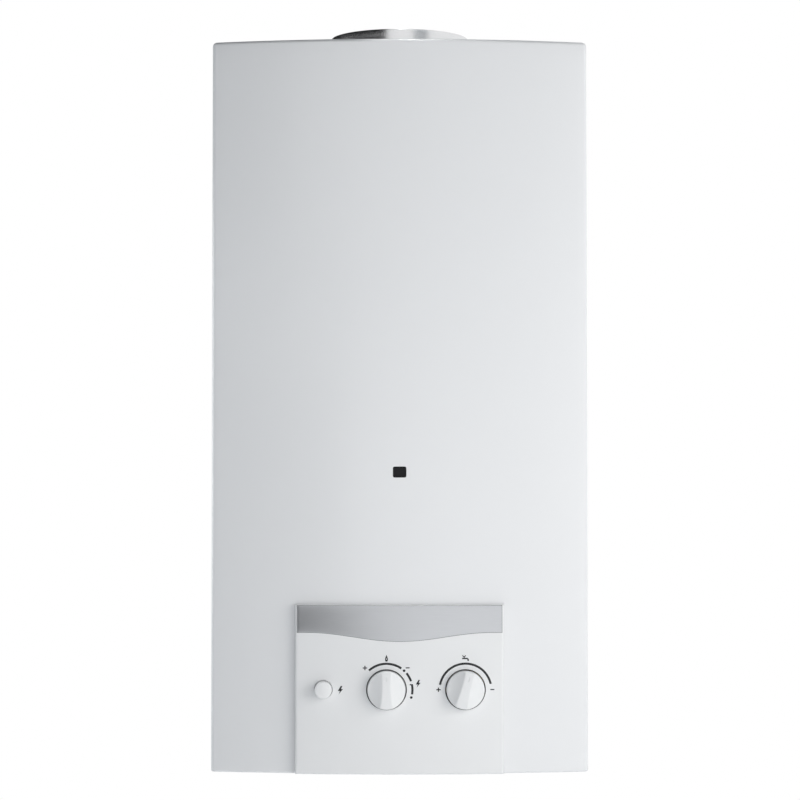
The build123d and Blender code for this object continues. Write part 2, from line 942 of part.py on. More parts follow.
# Push rod behind the gas spindle, its collar and its return spring
push_rod_front = gas_spindle_end - seat_gap
push_collar_back = push_rod_front - push_collar_place - push_collar_thickness
push_guide_front = gas_front - push_guide_start
push_guide_back = push_guide_front - push_guide_length
magnet_face = gas_back + magnet_spigot
push_rod_back = magnet_face + push_travel + push_stop_gap

with BuildPart() as gas_push_rod:
    bars(
        front_plane(push_rod_back),
        [(gas_knob_x, control_z)],
        push_rod_front - push_rod_back,
        push_rod_radius,
    )
    bars(front_plane(push_collar_back), [(gas_knob_x, control_z)], push_collar_thickness, push_collar_radius)

with BuildPart() as push_spring:
    push_seat = Plane(origin=at(gas_knob_x, magnet_face + seat_gap, control_z), z_dir=(0, -1, 0))
    add(
        spring(
            push_seat,
            push_spring_radius,
            push_spring_wire,
            push_spring_turns,
            push_collar_back - magnet_face - 2 * seat_gap,
        )
    )

# Gas valve
with BuildPart() as gas_valve_body:
    with BuildSketch(front_plane(gas_back)):
        with Locations(((gas_left_x + gas_right_x) / 2, (gas_top + gas_bottom) / 2)):
            RectangleRounded(gas_right_x - gas_left_x, gas_top - gas_bottom, gas_valve_round)
    extrude(amount=gas_front - gas_back)
    bars(front_plane(gas_boss_back), [(gas_inlet_x, interlock_z)], gas_boss_length, gas_boss_radius)
    bars(
        front_plane(push_guide_front),
        [(gas_knob_x, control_z)],
        push_guide_start,
        gas_spindle_radius + fit_gap,
        Mode.SUBTRACT,
    )
    bars(
        front_plane(push_guide_back),
        [(gas_knob_x, control_z)],
        push_guide_length,
        push_rod_radius + fit_gap,
        Mode.SUBTRACT,
    )
    bars(
        front_plane(gas_back),
        [(gas_knob_x, control_z)],
        push_guide_back - gas_back,
        magnet_bore_radius,
        Mode.SUBTRACT,
    )
    interlock_place = [(-valve_depth, interlock_z)]
    bars(
        side_plane(gas_left_x),
        interlock_place,
        gas_seat_x - gas_left_x,
        gas_chamber_radius,
        Mode.SUBTRACT,
    )
    bars(side_plane(gas_seat_x), interlock_place, gas_right_x - gas_seat_x, gas_seat_radius, Mode.SUBTRACT)
    bars(
        side_plane(gas_right_x - sleeve_gas_spigot),
        interlock_place,
        sleeve_gas_spigot,
        sleeve_spigot_radius + thread_gap,
        Mode.SUBTRACT,
    )
    bars(
        front_plane(gas_boss_back),
        [(gas_inlet_x, interlock_z)],
        valve_depth - gas_boss_back,
        connector_bore,
        Mode.SUBTRACT,
    )
    bars(
        front_plane(gas_boss_back),
        [(gas_inlet_x, interlock_z)],
        socket_depth,
        pipe_radius + fit_gap,
        Mode.SUBTRACT,
    )
    bars(
        level_plane(interlock_z),
        [(riser_x, -valve_depth)],
        gas_top - interlock_z,
        gas_outlet_bore,
        Mode.SUBTRACT,
    )
    bars(
        level_plane(gas_top - socket_depth),
        [(riser_x, -valve_depth)],
        socket_depth,
        riser_radius + fit_gap,
        Mode.SUBTRACT,
    )
    bars(
        level_plane(gas_top - pilot_port_depth),
        [(gas_knob_x + pilot_port_offset, -valve_depth - pilot_port_forward)],
        pilot_port_depth,
        pilot_tube_radius + fit_gap,
        Mode.SUBTRACT,
    )
    cap_screw_plane = Plane(origin=(gas_left_x, -valve_depth, interlock_z), x_dir=(0, 1, 0), z_dir=(1, 0, 0))
    with BuildSketch(cap_screw_plane):
        with PolarLocations(cap_screw_circle_radius, cap_screw_count, start_angle=cap_screw_turn):
            Circle(cap_screw_radius + thread_gap)
    extrude(amount=cap_screw_length - gas_cap_thickness + fit_gap, mode=Mode.SUBTRACT)

with BuildPart() as gas_valve_cap:
    bars(side_plane(gas_left_x - gas_cap_thickness), interlock_place, gas_cap_thickness, gas_cap_radius)
    bars(side_plane(gas_left_x), interlock_place, gas_cap_spigot, gas_chamber_radius - fit_gap)
    with BuildSketch(cap_screw_plane):
        with PolarLocations(cap_screw_circle_radius, cap_screw_count, start_angle=cap_screw_turn):
            Circle(cap_screw_radius + thread_gap)
    extrude(amount=-gas_cap_thickness, mode=Mode.SUBTRACT)
    bars(
        front_plane(valve_depth - gas_chamber_radius - overrun),
        [(gas_inlet_x, interlock_z)],
        2 * (gas_chamber_radius + overrun),
        connector_bore,
        Mode.SUBTRACT,
    )

# Interlock: diaphragm plate and rod, gas disc and closing spring
disc_right = gas_seat_x - seat_gap
disc_left = disc_right - gas_disc_thickness
plate_right = diaphragm_left - seat_gap
plate_left = plate_right - interlock_plate_thickness

with BuildPart() as interlock_rod:
    bars(side_plane(plate_left), interlock_place, interlock_plate_thickness, interlock_plate_radius)
    bars(side_plane(disc_right), interlock_place, plate_left - disc_right, interlock_rod_radius)

with BuildPart() as gas_disc:
    bars(side_plane(disc_left), interlock_place, gas_disc_thickness, gas_disc_radius)

with BuildPart() as valve_spring:
    spring_seat_x = gas_left_x + gas_cap_spigot
    cap_seat = Plane(origin=(spring_seat_x + seat_gap, -valve_depth, interlock_z), z_dir=(1, 0, 0))
    add(
        spring(
            cap_seat,
            valve_spring_radius,
            valve_spring_wire,
            valve_spring_turns,
            disc_left - spring_seat_x - 2 * seat_gap,
        )
    )

with BuildPart() as interlock_sleeve:
    hexes(side_plane(gas_right_x), interlock_place, cover_left - gas_right_x, sleeve_flats)
    bars(
        side_plane(gas_right_x - sleeve_gas_spigot),
        interlock_place,
        sleeve_gas_spigot + cover_left - gas_right_x + sleeve_cover_spigot,
        sleeve_spigot_radius,
    )
    bars(
        side_plane(gas_right_x - sleeve_gas_spigot),
        interlock_place,
        sleeve_gas_spigot + cover_left - gas_right_x + sleeve_cover_spigot,
        interlock_rod_radius + fit_gap,
        Mode.SUBTRACT,
    )

# Magnet unit
with BuildPart() as magnet_unit:
    magnet_back = gas_back - magnet_length
    bars(front_plane(magnet_back), [(gas_knob_x, control_z)], magnet_length, magnet_radius)
    bars(front_plane(gas_back), [(gas_knob_x, control_z)], magnet_spigot, magnet_bore_radius - fit_gap)
    bars(
        front_plane(magnet_back - magnet_nipple),
        [(gas_knob_x, control_z)],
        magnet_nipple,
        magnet_nipple_radius,
    )
    bars(
        front_plane(magnet_back - magnet_nipple),
        [(gas_knob_x, control_z)],
        magnet_nipple_bore,
        capillary_radius + fit_gap,
        Mode.SUBTRACT,
    )

# Water valve
water_screw_plane = Plane(origin=(cover_left, -valve_depth, interlock_z), x_dir=(0, 1, 0), z_dir=(1, 0, 0))
water_stack = water_cover_thickness + diaphragm_thickness + water_flange_thickness

with BuildPart() as water_screw_holes:
    with BuildSketch(water_screw_plane):
        with PolarLocations(water_screw_circle_radius, water_screw_count):
            Circle(water_screw_radius + fit_gap)
    extrude(amount=water_stack)

with BuildPart() as water_valve_body:
    bars(side_plane(diaphragm_right), interlock_place, water_flange_thickness, water_flange_radius)
    bars(side_plane(diaphragm_right), interlock_place, water_body_length, water_body_radius)
    bars(
        front_plane(water_boss_back),
        [(water_port_x, interlock_z)],
        water_rear_boss_length,
        water_boss_radius,
    )
    bars(
        level_plane(interlock_z),
        [(water_port_x, -valve_depth)],
        water_top - interlock_z,
        water_boss_radius,
    )
    bars(front_plane(valve_depth), [(water_knob_x, control_z)], spindle_boss_reach, spindle_boss_radius)
    bars(
        side_plane(diaphragm_right),
        interlock_place,
        water_chamber_depth,
        water_chamber_radius,
        Mode.SUBTRACT,
    )
    bars(
        side_plane(diaphragm_right),
        interlock_place,
        water_port_x - diaphragm_right,
        water_cross_bore,
        Mode.SUBTRACT,
    )
    bars(
        front_plane(water_boss_back),
        [(water_port_x, interlock_z)],
        water_rear_boss_length,
        water_port_bore,
        Mode.SUBTRACT,
    )
    bars(
        level_plane(interlock_z),
        [(water_port_x, -valve_depth)],
        water_top - interlock_z,
        water_port_bore,
        Mode.SUBTRACT,
    )
    bars(
        front_plane(water_boss_back),
        [(water_port_x, interlock_z)],
        socket_depth,
        pipe_radius + fit_gap,
        Mode.SUBTRACT,
    )
    bars(
        level_plane(water_top - socket_depth),
        [(water_port_x, -valve_depth)],
        socket_depth,
        pipe_radius + fit_gap,
        Mode.SUBTRACT,
    )
    bars(
        front_plane(water_spindle_end - seat_gap),
        [(water_knob_x, control_z)],
        water_spindle_entry + seat_gap,
        water_spindle_radius + fit_gap,
        Mode.SUBTRACT,
    )
    add(water_screw_holes.part, mode=Mode.SUBTRACT)

with BuildPart() as water_valve_cover:
    bars(side_plane(cover_left), interlock_place, water_cover_thickness, water_flange_radius)
    bars(
        side_plane(diaphragm_left - cover_chamber),
        interlock_place,
        cover_chamber,
        water_chamber_radius,
        Mode.SUBTRACT,
    )
    bars(
        side_plane(cover_left),
        interlock_place,
        water_cover_thickness,
        interlock_rod_radius + fit_gap,
        Mode.SUBTRACT,
    )
    bars(
        side_plane(cover_left),
        interlock_place,
        sleeve_cover_spigot,
        sleeve_spigot_radius + thread_gap,
        Mode.SUBTRACT,
    )
    add(water_screw_holes.part, mode=Mode.SUBTRACT)

with BuildPart() as diaphragm:
    bars(side_plane(diaphragm_left), interlock_place, diaphragm_thickness, water_flange_radius)
    add(water_screw_holes.part, mode=Mode.SUBTRACT)

with BuildPart() as valve_screws:
    with BuildSketch(water_screw_plane):
        with PolarLocations(water_screw_circle_radius, water_screw_count):
            Circle(water_screw_radius)
    extrude(amount=water_stack)
    with BuildSketch(water_screw_plane):
        with PolarLocations(water_screw_circle_radius, water_screw_count):
            Circle(water_screw_head_radius)
    extrude(amount=-water_screw_head_height)
    cap_head_plane = cap_screw_plane.offset(-gas_cap_thickness)
    with BuildSketch(cap_head_plane):
        with PolarLocations(cap_screw_circle_radius, cap_screw_count, start_angle=cap_screw_turn):
            Circle(cap_screw_radius)
    extrude(amount=cap_screw_length)
    with BuildSketch(cap_head_plane):
        with PolarLocations(cap_screw_circle_radius, cap_screw_count, start_angle=cap_screw_turn):
            Circle(cap_screw_head_radius)
    extrude(amount=-cap_screw_head_height)

# Pipe connectors, their bracket and their nuts
with BuildPart() as pipe_connectors:
    places = [(x, -connector_depth) for x in connector_places]
    bars(level_plane(connector_bottom), places, thread_length, thread_radius)
    hexes(level_plane(connector_bottom + thread_length), places, connector_hex, connector_flats)
    bars(level_plane(connector_plate_z), places, connector_top - connector_plate_z, connector_neck_radius)
    bars(
        level_plane(connector_bottom),
        places,
        connector_top - connector_bottom,
        connector_bore,
        Mode.SUBTRACT,
    )
    bars(
        level_plane(connector_top - socket_depth),
        places,
        socket_depth,
        pipe_radius + fit_gap,
        Mode.SUBTRACT,
    )

with BuildPart() as connector_bracket:
    bracket_width = water_port_x - hot_connector_x + 2 * connector_bracket_margin
    block(
        front_plane(chassis_sheet),
        (connector_bracket_x, connector_plate_z + connector_bracket_sheet / 2),
        bracket_width,
        connector_bracket_sheet,
        connector_bracket_reach - chassis_sheet,
    )
    block(
        front_plane(chassis_sheet),
        (connector_bracket_x, connector_plate_z + connector_bracket_flange / 2),
        bracket_width,
        connector_bracket_flange,
        connector_bracket_sheet,
    )
    bars(
        level_plane(connector_plate_z),
        places,
        connector_bracket_sheet,
        connector_neck_radius + fit_gap,
        Mode.SUBTRACT,
    )
    bars(
        front_plane(chassis_sheet),
        connector_screw_places,
        connector_bracket_sheet,
        frame_screw_radius + fit_gap,
        Mode.SUBTRACT,
    )

# Pipes
pipe_foot = connector_top - socket_depth

with BuildPart() as cold_inlet_pipe:
    add(
        tube(
            [
                at(water_port_x, connector_depth, pipe_foot),
                at(water_port_x, connector_depth, interlock_z),
                at(water_port_x, water_boss_back + socket_depth, interlock_z),
            ],
            [pipe_bend],
            pipe_radius,
            pipe_bore,
        )
    )

with BuildPart() as gas_inlet_pipe:
    add(
        tube(
            [
                at(gas_inlet_x, connector_depth, pipe_foot),
                at(gas_inlet_x, connector_depth, interlock_z),
                at(gas_inlet_x, gas_boss_back + socket_depth, interlock_z),
            ],
            [pipe_bend],
            pipe_radius,
            pipe_bore,
        )
    )

# Combustion jacket with a rim for the hood, tube holes and a peep hole for the flame
with BuildPart() as combustion_jacket:
    block(
        level_plane(jacket_bottom),
        (0, -jacket_middle),
        jacket_width,
        jacket_depth,
        jacket_height,
        corner=jacket_corner,
    )
    block(
        level_plane(jacket_top - jacket_rim_sheet),
        (0, -jacket_middle),
        jacket_width + 2 * jacket_rim,
        jacket_depth + 2 * jacket_rim,
        jacket_rim_sheet,
    )
    block(
        level_plane(jacket_bottom),
        (0, -jacket_middle),
        jacket_width - 2 * jacket_wall,
        jacket_depth - 2 * jacket_wall,
        jacket_height,
        Mode.SUBTRACT,
        jacket_corner - jacket_wall,
    )
    tube_places = [(-depth, tube_z) for depth in tube_depths]
    bars(side_plane(-jacket_width / 2), tube_places, jacket_width, pipe_radius + fit_gap, Mode.SUBTRACT)
    block(
        front_plane(jacket_front - jacket_wall),
        (0, sight_z),
        peep_width,
        peep_height,
        jacket_wall,
        Mode.SUBTRACT,
    )
    hood_screw_places = [
        (
            x_side * (jacket_width / 2 + jacket_rim / 2),
            -jacket_middle + y_side * (jacket_depth / 2 - hood_screw_inset),
        )
        for x_side in (-1, 1)
        for y_side in (-1, 1)
    ]
    bars(
        level_plane(jacket_top - jacket_rim_sheet),
        hood_screw_places,
        jacket_rim_sheet,
        hood_screw_radius + fit_gap,
        Mode.SUBTRACT,
    )

with BuildPart() as mica_window:
    block(
        front_plane(jacket_front),
        (0, sight_z),
        peep_width + 2 * mica_margin,
        peep_height + 2 * mica_margin,
        mica_thickness,
    )

# Heat exchanger: fins threaded on one serpentine tube
with BuildPart() as fin_stack:
    fin_xs = [(fin - (fin_count - 1) / 2) * fin_pitch - fin_thickness / 2 for fin in range(fin_count)]
    with BuildSketch(*[side_plane(x) for x in fin_xs]):
        with Locations((-jacket_middle, jacket_top - fin_drop - fin_height / 2)):
            Rectangle(jacket_depth - 2 * jacket_wall - 2 * fin_side_gap, fin_height)
        with Locations(*tube_places):
            Circle(pipe_radius + fit_gap, mode=Mode.SUBTRACT)
    extrude(amount=fin_thickness)

with BuildPart() as exchanger_tube:
    turns = []
    side = 1
    for front_row, back_row in zip(tube_depths[:0:-1], tube_depths[-2::-1]):
        side = -side
        turns.append(at(side * tube_bend_x, front_row, tube_z))
        turns.append(at(side * tube_bend_x, back_row, tube_z))
    start = at(tube_end_x, tube_depths[-1], tube_z)
    end = at(-side * tube_end_x, tube_depths[0], tube_z)
    add(tube([start, *turns, end], [tube_pitch / 2 - bend_slack] * len(turns), pipe_radius, pipe_bore))

# Supply coil from the water valve round the jacket to the exchanger
coil_side = jacket_width / 2 + pipe_radius + coil_gap
coil_back = jacket_back - pipe_radius - coil_gap
coil_front = jacket_front + pipe_radius + coil_gap
coil_inlet_x = jacket_width / 2 + coil_side_room
wrap_z = floor_z + coil_wrap_lift

with BuildPart() as supply_coil:
    coil_points = [
        at(water_port_x, valve_depth, water_top - socket_depth),
        at(water_port_x, valve_depth, floor_z + coil_start_lift),
        at(coil_side, valve_depth, floor_z + coil_turn_lift),
        at(coil_side, valve_depth, wrap_z),
        at(coil_side, coil_back, wrap_z + coil_climb),
        at(-coil_side, coil_back, wrap_z + 2 * coil_climb),
        at(-coil_side, coil_front, wrap_z + 3 * coil_climb),
        at(coil_inlet_x, coil_front, wrap_z + 4 * coil_climb),
        at(coil_inlet_x, tube_depths[-1], tube_z),
        at(tube_end_x, tube_depths[-1], tube_z),
    ]
    wrap_bend = jacket_corner + pipe_radius + coil_gap
    coil_bends = [coil_bend] * 3 + [wrap_bend] * 3 + [coil_bend, coil_inlet_bend]
    add(tube(coil_points, coil_bends, pipe_radius, pipe_bore))

# Hot pipe from the exchanger down to its connector
with BuildPart() as hot_outlet_pipe:
    hot_points = [
        at(-tube_end_x, tube_depths[0], tube_z),
        at(-coil_inlet_x, tube_depths[0], tube_z),
        at(-coil_inlet_x, tube_depths[0], floor_z + hot_drop_lift),
        at(hot_connector_x, connector_depth, floor_z + hot_foot_lift),
        at(hot_connector_x, connector_depth, pipe_foot),
    ]
    add(tube(hot_points, [coil_inlet_bend, coil_bend, coil_bend], pipe_radius, pipe_bore))

with BuildPart() as pipe_nuts:
    union_bore = pipe_radius + fit_gap
    hexes(level_plane(connector_nut_z), places, connector_nut, connector_flats)
    bars(
        level_plane(connector_nut_z),
        places,
        connector_nut,
        connector_neck_radius + thread_gap,
        Mode.SUBTRACT,
    )
    hexes(
        front_plane(water_boss_back - union_length),
        [(water_port_x, interlock_z)],
        union_length,
        union_flats,
    )
    hexes(
        front_plane(gas_boss_back - union_length),
        [(gas_inlet_x, interlock_z)],
        union_length,
        union_flats,
    )
    hexes(level_plane(water_top), [(water_port_x, -valve_depth)], union_length, union_flats)
    bars(
        front_plane(water_boss_back - union_length),
        [(water_port_x, interlock_z)],
        union_length,
        union_bore,
        Mode.SUBTRACT,
    )
    bars(
        front_plane(gas_boss_back - union_length),
        [(gas_inlet_x, interlock_z)],
        union_length,
        union_bore,
        Mode.SUBTRACT,
    )
    bars(level_plane(water_top), [(water_port_x, -valve_depth)], union_length, union_bore, Mode.SUBTRACT)
    hexes(level_plane(gas_top), [(riser_x, -valve_depth)], union_length, union_flats)
    bars(
        level_plane(gas_top),
        [(riser_x, -valve_depth)],
        union_length,
        riser_radius + fit_gap,
        Mode.SUBTRACT,
    )
    coupling_start = tube_end_x - coupling_length / 2
    for coupling_x, depth in (
        (coupling_start, tube_depths[-1]),
        (-coupling_start - coupling_length, tube_depths[0]),
    ):
        bars(side_plane(coupling_x), [(-depth, tube_z)], coupling_length, union_bore + coupling_wall)
        bars(side_plane(coupling_x), [(-depth, tube_z)], coupling_length, union_bore, Mode.SUBTRACT)

# Burner frame with a ledge under the bar ends
with BuildPart() as burner_frame:
    block(
        level_plane(burner_bottom),
        (0, -jacket_middle),
        jacket_width,
        jacket_depth,
        burner_frame_height,
        corner=jacket_corner,
    )
    block(
        level_plane(ledge_top),
        (0, -jacket_middle),
        jacket_width - 2 * burner_frame_wall,
        jacket_depth - 2 * burner_frame_wall,
        burner_frame_height,
        Mode.SUBTRACT,
        jacket_corner - burner_frame_wall,
    )
    opening_depth = jacket_depth - burner_ledge_front - burner_ledge_back
    block(
        level_plane(burner_bottom),
        (0, -(jacket_back + burner_ledge_back + opening_depth / 2)),
        jacket_width - 2 * burner_frame_wall,
        opening_depth,
        burner_frame_wall,
        Mode.SUBTRACT,
    )
    bars(
        level_plane(burner_bottom),
        [(pilot_x, -pilot_depth)],
        burner_frame_wall,
        pilot_stem_radius + fit_gap,
        Mode.SUBTRACT,
    )
    bars(
        level_plane(burner_bottom),
        [(probe_x, -pilot_depth)],
        burner_frame_wall,
        probe_radius + fit_gap,
        Mode.SUBTRACT,
    )
    bars(
        level_plane(burner_bottom),
        [(spark_x, -pilot_depth)],
        burner_frame_wall,
        ceramic_radius + fit_gap,
        Mode.SUBTRACT,
    )

# Burner bars, each a slotted head on a throat over a venturi tube
with BuildPart() as burner_bars:
    for bar_x in bar_xs:
        with BuildSketch(front_plane(bar_back)):
            with Locations((bar_x, ledge_top + bar_height / 2)):
                RectangleRounded(bar_width, bar_height, bar_corner)
        extrude(amount=bar_length)
        with BuildSketch(front_plane(bar_back + bar_sheet)):
            with Locations((bar_x, ledge_top + bar_height / 2)):
                RectangleRounded(
                    bar_width - 2 * bar_sheet, bar_height - 2 * bar_sheet, bar_corner - bar_sheet
                )
        extrude(amount=bar_length - 2 * bar_sheet, mode=Mode.SUBTRACT)
        block(
            front_plane(bar_back + venturi_rear_gap),
            (bar_x, ledge_top - venturi_drop / 2),
            throat_width,
            venturi_drop,
            throat_length,
        )
        bars(
            front_plane(bar_back + venturi_rear_gap),
            [(bar_x, venturi_z)],
            bar_length - venturi_rear_gap + venturi_lead,
            venturi_radius,
        )
        bars(
            front_plane(bar_back + 2 * venturi_rear_gap),
            [(bar_x, venturi_z)],
            bar_length - 2 * venturi_rear_gap + venturi_lead,
            venturi_bore,
            Mode.SUBTRACT,
        )
    slot_middle = -(bar_back + bar_front) / 2
    with BuildSketch(level_plane(ledge_top + bar_height - bar_slot_depth)):
        for bar_x in bar_xs:
            with Locations((bar_x, slot_middle)):
                with GridLocations(0, bar_slot_pitch, 1, bar_slot_count):
                    Rectangle(bar_slot_length, bar_slot_width)
    extrude(amount=bar_slot_depth, mode=Mode.SUBTRACT)

# Gas rail, injectors and riser
with BuildPart() as gas_manifold:
    rail_place = [(-rail_depth, venturi_z)]
    bars(side_plane(-rail_length / 2), rail_place, rail_length, rail_radius)
    bars(
        level_plane(venturi_z - rail_radius - rail_boss_drop),
        [(riser_x, -rail_depth)],
        rail_radius + rail_boss_drop,
        rail_boss_radius,
    )
    bars(
        side_plane(-rail_length / 2 + rail_cap),
        rail_place,
        rail_length - 2 * rail_cap,
        rail_bore,
        Mode.SUBTRACT,
    )
    bars(
        level_plane(venturi_z - rail_radius - rail_boss_drop),
        [(riser_x, -rail_depth)],
        rail_boss_drop,
        riser_radius + fit_gap,
        Mode.SUBTRACT,
    )
    bars(
        level_plane(venturi_z - rail_radius - rail_boss_drop),
        [(riser_x, -rail_depth)],
        rail_radius + rail_boss_drop,
        riser_bore,
        Mode.SUBTRACT,
    )
    injector_places = [(x, venturi_z) for x in bar_xs]
    bars(
        front_plane(rail_back),
        injector_places,
        rail_radius,
        injector_shank_radius + thread_gap,
        Mode.SUBTRACT,
    )

with BuildPart() as injectors:
    hex_front = rail_back - fit_gap
    hexes(front_plane(hex_front - injector_length), injector_places, injector_length, 2 * injector_radius)
    bars(
        front_plane(hex_front - injector_length - injector_tip),
        injector_places,
        injector_tip,
        injector_tip_radius,
    )
    shank_length = rail_radius - rail_bore + fit_gap
    bars(front_plane(hex_front), injector_places, shank_length, injector_shank_radius)
    bars(
        front_plane(hex_front - injector_length - injector_tip),
        injector_places,
        injector_tip + injector_length + shank_length,
        injector_bore,
        Mode.SUBTRACT,
    )

with BuildPart() as manifold_riser:
    riser_points = [
        at(riser_x, valve_depth, gas_top - socket_depth),
        at(riser_x, valve_depth, gas_top + riser_run),
        at(riser_x, rail_depth, gas_top + riser_run),
        at(riser_x, rail_depth, venturi_z - rail_radius),
    ]
    add(tube(riser_points, [riser_bend, riser_bend], riser_radius, riser_bore))

# Pilot burner and its tube
with BuildPart() as pilot_burner:
    pilot_place = [(pilot_x, -pilot_depth)]
    stem_bottom = burner_bottom - pilot_stem_drop
    bars(level_plane(stem_bottom), pilot_place, ledge_top - stem_bottom, pilot_stem_radius)
    bars(level_plane(ledge_top), pilot_place, pilot_flange_thickness, pilot_flange_radius)
    bars(level_plane(ledge_top), pilot_place, pilot_body_height, pilot_body_radius)
    bars(level_plane(ledge_top + pilot_body_height), pilot_place, pilot_hood_height, pilot_hood_radius)
    bars(
        level_plane(ledge_top + pilot_body_height + pilot_hood_height / 2),
        pilot_place,
        pilot_hood_height / 2,
        pilot_body_radius,
        Mode.SUBTRACT,
    )
    bars(level_plane(stem_bottom), pilot_place, pilot_socket, pilot_tube_radius + fit_gap, Mode.SUBTRACT)

pilot_port_x = gas_knob_x + pilot_port_offset
pilot_port_depth_place = valve_depth + pilot_port_forward
with BuildPart() as pilot_tube:
    pilot_points = [
        at(pilot_port_x, pilot_port_depth_place, gas_top - pilot_port_depth),
        at(pilot_port_x, pilot_port_depth_place, gas_top + riser_run / 2),
        at(pilot_x, pilot_depth, gas_top + riser_run),
        at(pilot_x, pilot_depth, stem_bottom + pilot_socket),
    ]
    add(tube(pilot_points, [riser_bend, riser_bend], pilot_tube_radius, pilot_tube_radius / 2))

# Thermocouple: probe, collar and the capillary down to the magnet unit
with BuildPart() as thermocouple:
    probe_place = [(probe_x, -pilot_depth)]
    bars(
        level_plane(burner_bottom - pilot_stem_drop),
        probe_place,
        pilot_stem_drop + probe_height,
        probe_radius,
    )
    bars(level_plane(ledge_top), probe_place, probe_collar, probe_collar_radius)
    nipple_end = magnet_back - magnet_nipple
    clear_x = riser_x + riser_radius + lead_room
    behind = nipple_end - lead_room
    capillary_points = [
        at(probe_x, pilot_depth, burner_bottom),
        at(probe_x, pilot_depth, gas_top + riser_run + riser_radius + lead_room / 2),
        at(clear_x, valve_depth, gas_top + riser_run / 2),
        at(clear_x, magnet_back, gas_top + pilot_stem_drop),
        at(clear_x, behind, control_z),
        at(gas_knob_x, behind, control_z),
        at(gas_knob_x, nipple_end + magnet_nipple_bore, control_z),
    ]
    capillary_bends = [lead_room / 2] * (len(capillary_points) - 2)
    add(tube(capillary_points, capillary_bends, capillary_radius, 0))

# Ignition electrode and the lead from the piezo
with BuildPart() as ignition_electrode:
    ceramic_place = [(spark_x, -pilot_depth)]
    ceramic_bottom = burner_bottom - ceramic_drop
    bars(
        level_plane(ceramic_bottom),
        ceramic_place,
        ledge_top + ceramic_height - ceramic_bottom,
        ceramic_radius,
    )
    bars(level_plane(ledge_top), ceramic_place, ceramic_collar, ceramic_collar_radius)
    bars(
        level_plane(ceramic_bottom),
        ceramic_place,
        lead_entry,
        ignition_lead_radius + fit_gap,
        Mode.SUBTRACT,
    )
    wire_points = [
        at(spark_x, pilot_depth, ledge_top + ceramic_height - spark_wire_bend),
        at(spark_x, pilot_depth, ledge_top + ceramic_height + spark_wire_rise),
        at(spark_x + spark_wire_reach, pilot_depth, ledge_top + ceramic_height + spark_wire_rise),
    ]
    add(tube(wire_points, [spark_wire_bend], spark_wire_radius, 0))

# Piezo igniter: bracket, body, nut, button and return spring
button_front = fascia_face(button_x) + button_proud
button_back = button_front - button_length
piezo_seat = button_back - piezo_spring_length
piezo_bracket_depth = piezo_seat + piezo_flange_lead
piezo_body_back = piezo_bracket_depth - piezo_body_length
guide_front = button_back + piezo_guide_lead

with BuildPart() as piezo_bracket:
    leg_bottom = control_z + piezo_bracket_drop
    leg_x = gas_left_x - piezo_bracket_sheet
    plate_left_x = button_x - piezo_flange_radius - piezo_bracket_margin
    plate_bottom = control_z - piezo_flange_radius - piezo_bracket_margin
    plate_top = leg_bottom + piezo_bracket_height
    block(
        side_plane(leg_x),
        (-(piezo_bracket_depth - piezo_bracket_leg / 2), leg_bottom + piezo_bracket_height / 2),
        piezo_bracket_leg,
        piezo_bracket_height,
        piezo_bracket_sheet,
    )
    block(
        front_plane(piezo_bracket_depth - piezo_bracket_sheet),
        ((plate_left_x + gas_left_x) / 2, (plate_bottom + plate_top) / 2),
        gas_left_x - plate_left_x,
        plate_top - plate_bottom,
        piezo_bracket_sheet,
    )
    bars(
        front_plane(piezo_bracket_depth - piezo_bracket_sheet),
        [(button_x, control_z)],
        piezo_bracket_sheet,
        piezo_body_radius + fit_gap,
        Mode.SUBTRACT,
    )

with BuildPart() as piezo_body:
    piezo_place = [(button_x, control_z)]
    bars(front_plane(piezo_body_back), piezo_place, piezo_body_length, piezo_body_radius)
    bars(front_plane(piezo_bracket_depth), piezo_place, piezo_flange_thickness, piezo_flange_radius)
    bars(
        front_plane(piezo_bracket_depth),
        piezo_place,
        guide_front - piezo_bracket_depth,
        piezo_guide_radius,
    )
    bars(
        front_plane(piezo_seat),
        piezo_place,
        guide_front - piezo_seat,
        button_radius + piezo_guide_gap,
        Mode.SUBTRACT,
    )
    bars(
        front_plane(piezo_body_back - piezo_terminal), piezo_place, piezo_terminal, piezo_terminal_radius
    )
    bars(
        front_plane(piezo_body_back - piezo_terminal),
        piezo_place,
        lead_entry,
        ignition_lead_radius + fit_gap,
        Mode.SUBTRACT,
    )

with BuildPart() as piezo_nut:
    nut_back = piezo_bracket_depth - piezo_bracket_sheet - piezo_nut_length
    hexes(front_plane(nut_back), piezo_place, piezo_nut_length, piezo_nut_flats)
    bars(
        front_plane(nut_back),
        piezo_place,
        piezo_nut_length,
        piezo_body_radius + thread_gap,
        Mode.SUBTRACT,
    )

with BuildPart() as piezo_button:
    bars(front_plane(button_back), piezo_place, button_length, button_radius)
    fillet(piezo_button.edges().sort_by(Axis.Y)[0], button_round)

with BuildPart() as piezo_spring:
    button_seat = Plane(origin=at(button_x, piezo_seat + seat_gap, control_z), z_dir=(0, -1, 0))
    add(
        spring(
            button_seat,
            piezo_spring_radius,
            piezo_spring_wire,
            piezo_spring_turns,
            piezo_spring_length - 2 * seat_gap,
        )
    )

with BuildPart() as ignition_lead:
    lead_back = piezo_body_back - piezo_terminal
    lead_points = [
        at(button_x, lead_back + lead_entry, control_z),
        at(button_x, lead_back - lead_room, control_z),
        at(button_x, lead_back - lead_room, gas_top + lead_room),
        at(spark_x - lead_room, valve_depth + lead_room, gas_top + riser_run),
        at(spark_x, pilot_depth, gas_top + riser_run + lead_room / 2),
        at(spark_x, pilot_depth, ceramic_bottom + lead_entry),
    ]
    lead_bends = [lead_room * 3 / 4] * 2 + [lead_room / 2] * 2
    add(tube(lead_points, lead_bends, ignition_lead_radius, 0))

